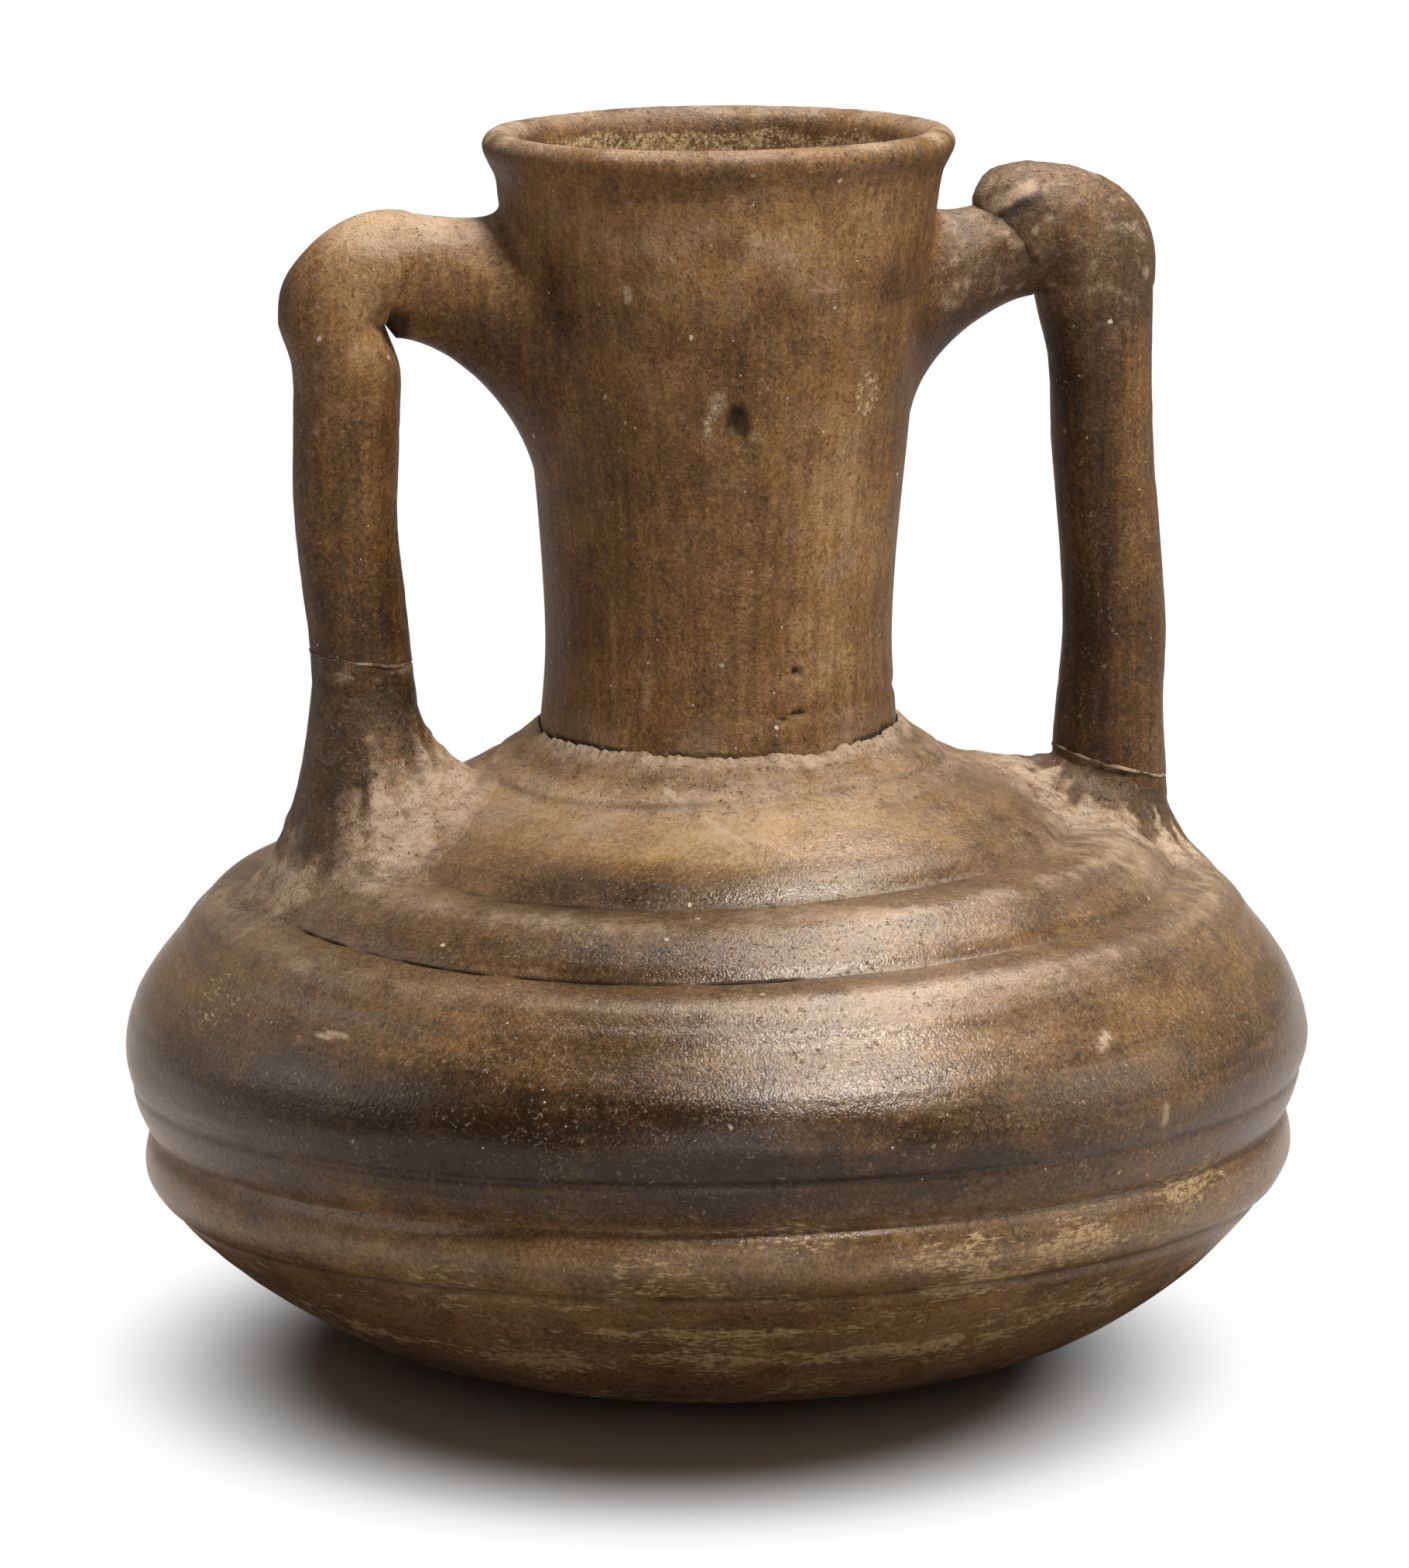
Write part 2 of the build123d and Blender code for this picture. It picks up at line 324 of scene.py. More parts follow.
def turned_ring(name: str, outer: Array, inner: Array, steps: int) -> tuple[Piece, Array, Array]:
    """A ring turned about the pot's axis from a closed outline.

    Args:
        name: Name of the piece.
        outer: Outline of the side that shows, from below upwards, as radii and heights.
        inner: The rest of the outline, from above downwards.
        steps: Number of steps round the pot.

    Returns:
        The piece, its points, and ones for the points on its outer side and zeros for the rest.
    """
    outline = np.vstack((outer, inner))
    deselect()
    bpy.ops.mesh.primitive_circle_add(vertices=len(outline), radius=MM, fill_type="NOTHING")
    piece = bpy.context.object
    piece.name = name
    flat = np.stack((outline[:, 0], np.zeros(len(outline)), outline[:, 1]), 1)
    write_points(piece, flat)
    skin = piece.data.attributes.new(SKIN, "FLOAT", "POINT")
    shown = np.arange(len(outline)) < len(outer)
    skin.data.foreach_set("value", shown.astype(np.float32))
    turning = piece.modifiers.new("turning", "SCREW")
    turning.axis = "Z"
    turning.angle = FULL_TURN
    turning.steps = steps
    turning.render_steps = steps
    turning.use_merge_vertices = True
    turning.merge_threshold = TURN_MERGE
    bpy.ops.object.modifier_apply(modifier=turning.name)
    clean()
    points = read_points(piece)
    values = np.empty(len(points), np.float32)
    piece.data.attributes[SKIN].data.foreach_get("value", values)
    return piece, points, values.astype(float)


def drawn_roll(name: str, rings: Array, paint: Array, closed: bool = False) -> Piece:
    """A roll of clay drawn out of a circle ring by ring, each ring laid in its place.

    Args:
        name: Name of the piece.
        rings: Points, ring by ring, in an array of rings by points by three.
        paint: Paint of the same points, in an array of rings by points by four.
        closed: Whether the last ring meets the first one, so that the roll has no ends.

    Returns:
        The painted piece.
    """
    count, around = rings.shape[:2]
    deselect()
    bpy.ops.mesh.primitive_circle_add(vertices=around, radius=1.0, fill_type="NOTHING")
    piece = bpy.context.object
    piece.name = name
    bpy.ops.object.mode_set(mode="EDIT")
    bpy.ops.mesh.select_all(action="SELECT")
    bpy.ops.mesh.extrude_repeat(steps=count - 1, offset=(0.0, 0.0, 1.0))
    if not closed:
        bpy.ops.mesh.select_all(action="SELECT")
        bpy.ops.mesh.fill_holes(sides=0)
    bpy.ops.object.mode_set(mode="OBJECT")
    start = read_points(piece) * MM
    ring = np.round(start[:, 2]).astype(int)
    angle = np.arctan2(start[:, 1], start[:, 0])
    turn = np.round(angle * around / FULL_TURN).astype(int) % around
    write_points(piece, rings[ring, turn])
    write_paint(piece, paint[ring, turn])
    clean()
    return piece


def write_paint(piece: Piece, paint: Array) -> None:
    """Store the dust, shade, crust and tone of each point on a piece's mesh."""
    layer = piece.data.attributes.new(PAINT, "FLOAT_COLOR", "POINT")
    layer.data.foreach_set("color", np.clip(paint, 0, 1).astype(np.float32).ravel())


def finish_piece(piece: Piece, node: str, material: Material) -> None:
    """Smooth and dress a piece, and hand it over in the place of its node.

    Args:
        piece: The finished mesh.
        node: The CAD node that it stands for.
        material: The finish that shows.
    """
    deselect()
    piece.select_set(True)
    bpy.context.view_layer.objects.active = piece
    bpy.ops.object.shade_smooth_by_angle(angle=SMOOTH_ANGLE)
    piece.data.materials.clear()
    piece.data.materials.append(material)
    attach(piece, BODY)
    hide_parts(node)
    LOG.info("%s: %d faces for %s", piece.name, len(piece.data.polygons), node)


# The pot's outline


def node_box(node: str) -> tuple[Array, Array]:
    """Lowest and highest corner of a CAD node, in millimetres."""
    low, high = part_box(node)
    return np.array(low) / MM, np.array(high) / MM


def widest(node: str) -> float:
    """Largest reach of a CAD node along X."""
    return node_box(node)[1][0]


def lowest(node: str) -> float:
    """Height of a CAD node's lower end."""
    return node_box(node)[0][2]


def highest(node: str) -> float:
    """Height of a CAD node's upper end."""
    return node_box(node)[1][2]


@dataclass
class PotOutline:
    """The outer line of the turned pot: seams read from the frame, and the swell between them."""

    rest_radius: float = 42.0
    notch_setback: float = 3.4
    neck_foot_radius: float = 25.4
    neck_waist_radius: float = 24.5
    neck_wall: float = 4.2
    body_wall: float = 5.5
    floor_wall: float = 6.5
    bowl_bulge: float = 4.5
    lower_coil_bulge: float = 1.9
    under_belly_bulge: float = 0.3
    shoulder_bulge: float = 1.5
    collar_bulge: float = 0.5
    slope_steps: int = 1600
    slope_reach: int = 30

    def __post_init__(self) -> None:
        """Read the seams from the frame and lay the runs between them."""
        self.bowl_seam = (widest("base_bowl"), lowest("lower_coil"))
        self.belly_radius = widest("belly_coil")
        self.notch = (self.belly_radius - self.notch_setback, lowest("under_belly_coil"))
        self.under_belly = (widest("under_belly_coil"), lowest("belly_coil"))
        self.belly_groove = (widest("shoulder_coil"), highest("belly_coil"))
        self.shoulder_groove = (widest("collar_coil"), highest("shoulder_coil"))
        self.collar_top = (widest("neck_luting_bead"), lowest("neck_luting_bead"))
        self.neck_seat = (self.neck_foot_radius, lowest("neck_tube"))
        self.rim_seam = (widest("neck_tube"), highest("neck_tube"))
        self.lip_radius = widest("rim_coil")
        self.crown_height = highest("rim_coil")
        self.runs = {
            "base_bowl": arc((self.rest_radius, 0.0), self.bowl_seam, self.bowl_bulge, 60),
            "lower_coil": arc(self.bowl_seam, self.notch, self.lower_coil_bulge, 40),
            "under_belly_coil": arc(self.notch, self.under_belly, self.under_belly_bulge, 30),
            "belly_coil": self.belly_run(),
            "shoulder_coil": arc(self.belly_groove, self.shoulder_groove, self.shoulder_bulge, 50),
            "collar_coil": arc(self.shoulder_groove, self.collar_top, self.collar_bulge, 60),
        }
        seat = np.array((self.collar_top, self.neck_seat))
        line = np.vstack(list(self.runs.values()) + [seat, self.neck_run()])
        order = np.argsort(line[:, 1], kind="stable")
        self.heights = line[order, 1]
        self.radii = line[order, 0]
        self.even = np.linspace(0, self.rim_seam[1], self.slope_steps)
        slope = np.gradient(np.interp(self.even, self.heights, self.radii), self.even)
        self.lean = np.arctan(smooth(slope, self.slope_reach))
        self.bead = self.bead_run()

    def bead_run(self) -> Array:
        """The hollow of luting clay, from the collar up to the foot of the neck."""
        foot = self.neck_foot_radius
        base = self.collar_top[1]
        return curve([
            (foot + 12.0, base - 2.22),
            (foot + 9.9, base - 0.98),
            (foot + 7.4, base + 0.46),
            (foot + 5.2, base + 1.8),
            (foot + 3.1, base + 3.3),
            (foot + 1.5, base + 4.8),
            (foot + 0.55, base + 5.6),
            (foot + 0.12, base + 5.5),
        ], 60)

    def belly_run(self) -> Array:
        """The full round of the belly, rolled over into the groove above it.

        Returns:
            Radii and heights, from below upwards.
        """
        radius = self.belly_radius
        start, end = self.under_belly, self.belly_groove
        rise = end[1] - start[1]
        return curve([
            start,
            (radius, start[1] + 0.20 * rise),
            (radius - 2.4, start[1] + 0.47 * rise),
            (radius - 7.8, start[1] + 0.73 * rise),
            (radius - 12.6, start[1] + 0.91 * rise),
            end,
        ], 90)

    def neck_run(self, offset: float = 0.0) -> Array:
        """The waisted line of the neck, moved in by an offset."""
        foot, top = self.neck_seat, self.rim_seam
        height = top[1] - foot[1]
        return curve([
            (foot[0] - offset, foot[1]),
            (self.neck_waist_radius - offset, foot[1] + 15.0),
            (self.neck_waist_radius + 1.3 - offset, foot[1] + 36.0),
            (self.neck_waist_radius + 3.8 - offset, foot[1] + height - 21.0),
            (top[0] - offset, top[1]),
        ], 150)

    def radius_at(self, height: Array) -> Array:
        """Outer radius at a height."""
        return np.interp(height, self.heights, self.radii)

    def top_height(self, radius: Array) -> Array:
        """Height of the upper side of the pot, from the belly inwards, at a radius.

        Args:
            radius: Distances from the axis.

        Returns:
            The heights.
        """
        upper = (self.heights > self.under_belly[1] + 6) & (self.heights <= self.neck_seat[1])
        clay = np.interp(radius, self.radii[upper][::-1], self.heights[upper][::-1])
        bead = np.interp(radius, self.bead[::-1, 0], self.bead[::-1, 1], right=0.0)
        return np.maximum(clay, bead)

    def outward(self, height: Array) -> tuple[Array, Array]:
        """The direction out of the surface at a height, as its radial and its upward part."""
        lean = np.interp(height, self.even, self.lean)
        return np.cos(lean), -np.sin(lean)


# The potter's hand


@dataclass
class PotterHand:
    """How the hand-built pot differs from a true one: lean, lift, wobble, drags and open seams."""

    outline: PotOutline
    front_lift: float = 2.5
    body_tilt: float = 0.0156
    neck_tilt: float = 0.008
    wobble: float = 0.5
    pit_depth: float = 0.9
    crack_depth: float = 0.4
    crack_half_width: float = 0.12
    body_tone: float = 0.48
    neck_tone: float = 0.46

    def settle(self, points: Array) -> Array:
        """Lean, lift and wobble, the same for every piece, so that seams stay closed.

        Args:
            points: Points of the true pot.

        Returns:
            The points of the pot as it was built.
        """
        angle, right, radius = view_frame(points)
        height = points[:, 2]
        away = ease(8, 40, radius)
        lifted = ease(0, 18, height) * ease(63, 40, height) * away
        lift = self.front_lift * (np.cos(angle) + np.cos(angle) ** 2) * lifted
        tilt = self.body_tilt + (self.neck_tilt - self.body_tilt) * ease(76, 92, height)
        sway = 0.35 * np.sin(2 * angle + 0.7) + 0.25 * np.sin(3 * angle + 2.0 + 0.05 * height)
        sway = sway * ease(12, 26, height) * ease(88, 72, height) * away
        swell = np.sin(2 * angle + 0.6 + 0.02 * height)
        swell = swell + 0.7 * np.sin(3 * angle + 2.1 - 0.03 * height)
        swell = swell + 0.35 * np.sin(5 * angle + 0.4 + 0.05 * height)
        swell = self.wobble * swell * (radius / self.outline.belly_radius) * away
        moved = points.copy()
        moved[:, :2] *= (1 + swell / np.maximum(radius, 1))[:, None]
        moved[:, 2] += lift + tilt * right * ease(0, 22, height) + sway
        return moved

    def crack(self, angle: Array, height: Array) -> Array:
        """How far the shoulder seams gape, from 0 to 1.

        Args:
            angle: Angle of each point from the front.
            height: Height of each point.

        Returns:
            A value for each point.
        """
        reach = np.degrees(angle)
        long_crack = hump(height, self.outline.belly_groove[1], self.crack_half_width)
        long_crack = long_crack * ease(-66, -58, reach) * ease(16, 4, reach)
        long_crack = long_crack * (0.75 + 0.25 * np.sin(0.31 * reach) + 0.25 * np.sin(0.83 * reach + 1.0))
        short_crack = hump(height, self.outline.shoulder_groove[1], 0.8 * self.crack_half_width)
        short_crack = 0.55 * short_crack * ease(-48, -40, reach) * ease(-14, -22, reach)
        back = hump(height, self.outline.shoulder_groove[1], self.crack_half_width)
        back = 0.7 * back * ease(105, 118, reach) * ease(170, 150, reach)
        return long_crack + short_crack + back

    def collar_line(self, angle: Array) -> Array:
        """Height of the wavering line where the luting clay runs out on the collar."""
        return self.outline.collar_top[1] + 0.2 + 0.5 * np.sin(2 * angle)

    def skin(self, points: Array, skin: Array) -> Array:
        """How far the outer side of the body stands off its true line.

        Args:
            points: Points of the true pot.
            skin: Ones on the outer side, zeros elsewhere.

        Returns:
            The distance out of the surface for each point.
        """
        out = self.outline
        belly, shoulder = out.belly_groove[1], out.shoulder_groove[1]
        angle, _, radius = view_frame(points)
        height = points[:, 2]
        around = circle_spots(angle, 40, height)
        drawn = Grain(3).lumps(around, (14.0, 14.0, 1.5)) * 0.05
        drawn += Grain(4).lumps(around, (9.0, 9.0, 0.7)) * 0.025
        facets = Grain(5).lumps(points, (15.0, 15.0, 6.0)) * 0.20
        lips = bands(height, (
            (0.35, belly - 1.8, 1.3),
            (0.22, belly - 5.4, 1.0),
            (0.30, shoulder - 1.3, 0.9),
            (0.25, shoulder + 2.2, 1.2),
        ))
        dips = bands(height, (
            (-0.30, belly + 0.3, 0.8),
            (-0.25, shoulder + 0.3, 0.7),
            (-0.30, out.under_belly[1], 0.7),
            (-0.35, out.notch[1], 0.9),
            (-0.45, out.bowl_seam[1], 0.9),
            (-0.45, self.collar_line(angle), 0.8),
        ))
        off = drawn + facets + lips + dips - self.crack_depth * self.crack(angle, height)
        return off * skin * ease(6, 20, radius)

    def neck_skin(self, points: Array) -> Array:
        """How far the outer side of the neck stands off its true line.

        Args:
            points: Points of the true pot.

        Returns:
            The distance out of the surface for each point.
        """
        out = self.outline
        angle, _, _ = view_frame(points)
        height = points[:, 2]
        around = circle_spots(angle, 26, height)
        drags = 0.07 * Grain(31).lumps(around, (1.8, 1.8, 26.0))
        drags += 0.22 * Grain(32).lumps(around, (9.0, 9.0, 16.0))
        drags += 0.05 * Grain(33).lumps(around, (12.0, 12.0, 0.9)) * ease(140, 152, height)
        band = 0.30 * hump(height, out.neck_seat[1] + 6.2, 0.8) * ease(-0.3, 0.3, angle)
        ends = ease(out.neck_seat[1], out.neck_seat[1] + 3, height)
        ends = ends * ease(out.rim_seam[1], out.rim_seam[1] - 2, height)
        pits = sum(pit.strength * pit.mask(points) for pit in NECK_PITS)
        return (drags - band) * ends - self.pit_depth * pits

    def body_paint(self, points: Array, settled: Array, skin: Array) -> Array:
        """Dust on the body's crests, painted shade in its seams and under the belly, crust and tone by
        place.

        Args:
            points: Points of the true pot.
            settled: The same points on the built pot.
            skin: Ones on the outer side.

        Returns:
            Paint for each point.
        """
        out = self.outline
        belly, shoulder = out.belly_groove[1], out.shoulder_groove[1]
        angle, _, _ = view_frame(points)
        height = points[:, 2]
        paint = fresh_paint(len(points), self.body_tone)
        worn = 0.65 + 0.35 * Grain(11).rough(settled, 14.0)
        worn = worn * (0.9 + 0.7 * Grain(16).rough(settled, 2.4))
        dust = bands(height, (
            (0.42, belly - 2.2, 1.5),
            (0.14, belly - 5.5, 1.2),
            (0.36, shoulder - 1.2, 0.8),
            (0.40, out.notch[1] + 0.3, 0.8),
            (0.22, out.bowl_seam[1] + 5.0, 2.2),
        ))
        dust += 0.16 * ease(64, 70, height) + 0.10 * ease(76, 80, height)
        dust += 0.25 * ease(out.collar_top[1] - 2.4, out.collar_top[1] + 0.5, height)
        turned = np.degrees(angle)
        halo = hump(turned, -70, 17) * hump(height, 71, 6)
        halo += hump(turned, 88, 26) * hump(height, 70, 7)
        dust += 0.75 * halo
        paint[:, Grade.DUST] = dust * worn * skin
        shade = bands(height, (
            (0.40, belly + 0.2, 0.5),
            (0.36, shoulder + 0.2, 0.45),
            (0.50, out.under_belly[1], 0.7),
            (0.30, out.notch[1] - 1.2, 0.8),
            (0.60, out.bowl_seam[1], 1.1),
            (0.55, self.collar_line(angle), 0.55),
        ))
        shade *= 0.75 + 0.55 * Grain(12).rough(settled, 9.0)
        shade += self.crack(angle, height) * (0.50 + 0.6 * Grain(15).rough(settled, 4.0))
        paint[:, Grade.SHADE] = np.maximum(shade, 0) * skin + 0.25 * (1 - skin)
        soil = Grain(13).rough(settled * (1, 1, 2.5), 12.0)
        soiled = ease(-0.3, 0.5, soil) * ease(44, 16, height) * 0.62
        paint[:, Grade.CRUST] = soiled * skin
        tone = 0.12 * ease(73, 77, height) - 0.12 * ease(55, 64, height)
        # Painted shade: the belly darkens towards its underside.
        tone -= 0.15 * ease(58, 48, height)
        tone += 0.20 * ease(37, 24, height) + 0.06 * halo
        paint[:, Grade.TONE] += tone + 0.07 * Grain(14).rough(settled, 26.0)
        apply_marks(paint, settled, BODY_MARKS)
        return paint

    def neck_paint(self, points: Array, settled: Array, skin: Array) -> Array:
        """Tone, stains, painted light and shade, and the dusty foot of the neck.

        Args:
            points: Points of the true pot.
            settled: The same points on the built pot.
            skin: Ones on the outer side.

        Returns:
            Paint for each point.
        """
        seat = self.outline.neck_seat[1]
        height = points[:, 2]
        paint = fresh_paint(len(points), self.neck_tone)
        foot = ease(seat + 9, seat + 1, height)
        paint[:, Grade.DUST] = skin * foot * (0.22 + 0.3 * Grain(36).rough(settled, 6.0))
        paint[:, Grade.TONE] += 0.07 * Grain(37).rough(settled * (1, 1, 0.5), 16.0)
        apply_marks(paint, settled, NECK_MARKS)
        return paint

    def push(self, points: Array, amount: Array) -> Array:
        """Move points out of the pot's surface by an amount for each.

        Args:
            points: Points of the true pot.
            amount: Distance out of the surface for each.

        Returns:
            The moved points.
        """
        radial, upward = self.outline.outward(points[:, 2])
        radius = np.maximum(np.hypot(points[:, 0], points[:, 1]), TINY)
        moved = points.copy()
        moved[:, :2] += points[:, :2] * (radial * amount / radius)[:, None]
        moved[:, 2] += upward * amount
        return moved


@dataclass(frozen=True)
class Mark:
    """A patch, stain, scrape or pit on the pot's skin, or a patch of painted light or shade."""

    grade: Grade
    angle: float
    height: float
    half_width: float
    half_height: float
    strength: float
    turn: float = 0.0
    ragged: float = 0.5
    lump: float = 3.5
    reach: float = 3.0

    def mask(self, points: Array) -> Array:
        """How strongly the mark covers each point.

        Args:
            points: Points of the built pot.

        Returns:
            A value between 0 and 1 for each point.
        """
        angle, _, radius = view_frame(points)
        turned = (np.degrees(angle) - self.angle + 180) % 360 - 180
        across = np.radians(turned) * radius
        up = points[:, 2] - self.height
        tilt = math.radians(self.turn)
        along = across * math.cos(tilt) + up * math.sin(tilt)
        over = up * math.cos(tilt) - across * math.sin(tilt)
        near = (along / self.half_width) ** 2 + (over / self.half_height) ** 2
        within = near < self.reach ** 2
        if self.grade is Grade.TONE:
            edge = Grain(41).rough(points, self.lump) * self.ragged
            return np.clip(np.exp(-near) * (1 + edge), 0, 1) * within
        lump = min(self.lump, 0.8 + min(self.half_width, self.half_height))
        edge = Grain(41).rough(points, lump) * self.ragged
        return ease(0.15, 0.75, np.exp(-near) * (1 + 1.4 * edge)) * within


def apply_marks(paint: Array, points: Array, marks: tuple[Mark, ...]) -> None:
    """Add listed marks to a piece's paint."""
    for mark in marks:
        paint[:, mark.grade] += mark.strength * mark.mask(points)


def marks_of(grade: Grade, *rows: tuple[float, ...]) -> tuple[Mark, ...]:
    """Marks of one grade, from rows of a mark's fields in their order."""
    return tuple(Mark(grade, *row) for row in rows)


BODY_MARKS = marks_of(
    Grade.TONE,
    (-6, 78.4, 30.0, 4.4, 0.36),
    (-46, 81.0, 22.0, 5.0, 0.14),
    (26, 82.0, 12.0, 2.0, 0.10),
    # Painted shade along the lower front of the belly.
    (-22, 48.0, 46.0, 8.0, -0.35),
    (8, 43.0, 40.0, 4.0, -0.16),
    (48, 54.0, 26.0, 10.0, 0.06),
    (-12, 73.0, 22.0, 2.0, -0.18),
    (-4, 67.5, 26.0, 3.0, -0.12),
    (30, 68.0, 22.0, 4.0, 0.10),
    (150, 52.0, 40.0, 9.0, -0.14),
    (-140, 66.0, 34.0, 8.0, 0.12),
) + marks_of(
    Grade.CRUST,
    (22, 30.5, 10.0, 3.2, 0.75),
    (36, 28.5, 9.0, 3.2, 0.85),
    (25, 25.0, 9.0, 2.4, 0.7),
    (52, 33.0, 10.0, 3.4, 0.5),
    (6, 34.5, 12.0, 2.0, 0.4),
    (-16, 23.5, 8.0, 1.0, 0.5),
    (2, 19.5, 22.0, 1.0, 0.75),
    (14, 14.5, 26.0, 1.6, 0.8),
    (-30, 12.0, 26.0, 2.0, 0.5),
    (-62, 54.5, 7.0, 4.0, 0.45),
    (120, 28.0, 22.0, 5.0, 0.6),
    (-120, 24.0, 26.0, 4.0, 0.5),
) + marks_of(
    Grade.DUST,
    (-41, 55.6, 3.4, 0.35, 0.8, 8.0),
    (39.4, 55.8, 2.2, 0.6, 0.9, 30.0),
    (44.7, 44.5, 0.5, 2.6, 0.8, 8.0),
    (-11, 82.0, 3.0, 0.45, 0.6, -28.0),
    (1.2, 78.8, 4.0, 0.3, 0.5, -24.0),
    (10, 77.4, 3.4, 0.28, 0.4, -18.0),
    (-28, 32.8, 9.0, 0.7, 0.5, 6.0),
    (18, 71.0, 14.0, 0.5, 0.3),
    (26, 62.5, 30.0, 1.6, 0.18),
)

NECK_MARKS = marks_of(
    Grade.SHADE,
    (5.4, 132.6, 1.9, 2.5, 0.72, 0.0, 0.5),
    (5.2, 135.4, 1.0, 2.6, 0.45, 0.0, 0.5),
    (26.2, 97.5, 0.9, 0.7, 0.8, 0.0, 0.3),
    (58, 148.4, 4.0, 0.5, 0.45, 8.0, 0.9),
    (75, 154.5, 4.0, 0.5, 0.55, 12.0, 0.9),
    (24, 91.4, 2.4, 0.3, 0.7, 12.0),
) + marks_of(
    Grade.TONE,
    (5.0, 138.0, 4.0, 6.0, -0.10),
    (-50, 149.0, 3.2, 8.0, -0.36),
    (54, 150.0, 5.0, 2.6, -0.26),
    # Painted shade on the neck's left side, away from the light.
    (-40, 112.0, 9.0, 22.0, -0.07),
    # Painted light on the neck's right side.
    (44, 116.0, 9.0, 28.0, 0.22),
    # Painted light on the neck's flared top, as if lit from the floor below.
    (5, 158.0, 30.0, 10.0, 0.24),
    (-52, 118.0, 6.0, 30.0, 0.10),
    (160, 125.0, 16.0, 20.0, -0.10),
) + marks_of(
    Grade.DUST,
    (-0.7, 134.8, 1.0, 3.9, 0.62, -18.0, 1.0),
    (11.0, 130.9, 1.5, 0.8, 0.55, -10.0, 1.0),
    (-25, 150.6, 0.6, 1.3, 1.6),
    (4, 153.0, 1.6, 6.0, 0.22, 0.0, 0.9),
    (-2, 158.0, 16.0, 3.0, 0.22, 0.0, 0.9),
    (44, 124.0, 4.0, 8.0, 0.22, 0.0, 0.9),
    (-36, 100.0, 0.7, 8.0, 0.30, 0.0, 0.9),
    (-24, 96.0, 0.6, 6.0, 0.30, 0.0, 0.9),
    (26.2, 98.6, 1.5, 0.5, 0.5),
    (30, 151.0, 5.0, 0.5, 0.45, 4.0, 0.9),
    (22, 156.0, 7.0, 0.4, 0.40, 2.0, 0.9),
) + marks_of(
    Grade.CRUST,
    (-1.2, 134.2, 1.0, 3.6, 0.62, -18.0, 1.0),
    (11.0, 130.9, 1.3, 0.7, 0.55, -10.0, 1.0),
    (48, 135.0, 3.0, 3.6, 0.75, 0.0, 0.9),
    (42, 128.5, 3.6, 3.0, 0.45, 0.0, 0.9),
    (34, 143.5, 2.4, 2.0, 0.4, 0.0, 0.9),
)

NECK_PITS = marks_of(
    Grade.SHADE,
    (5.4, 133.2, 1.5, 2.5, 0.9, 0.0, 0.2),
    (-0.4, 135.5, 0.8, 3.2, 0.25, -18.0, 0.4),
    (26.2, 97.5, 0.9, 0.7, 0.9, 0.0, 0.2),
    (24, 91.4, 3.0, 0.35, 0.5, 12.0, 0.4),
    (0, 131.0, 3.4, 2.6, 0.3, 0.0, 0.2),
    (-156, 118.0, 1.2, 0.9, 0.8, 0.0, 0.2),
)


def fresh_paint(count: int, tone: float) -> Array:
    """Paint with no dust, shade or crust, and one tone all over."""
    paint = np.zeros((count, 4))
    paint[:, Grade.TONE] = tone
    return paint


# Body, neck and handles


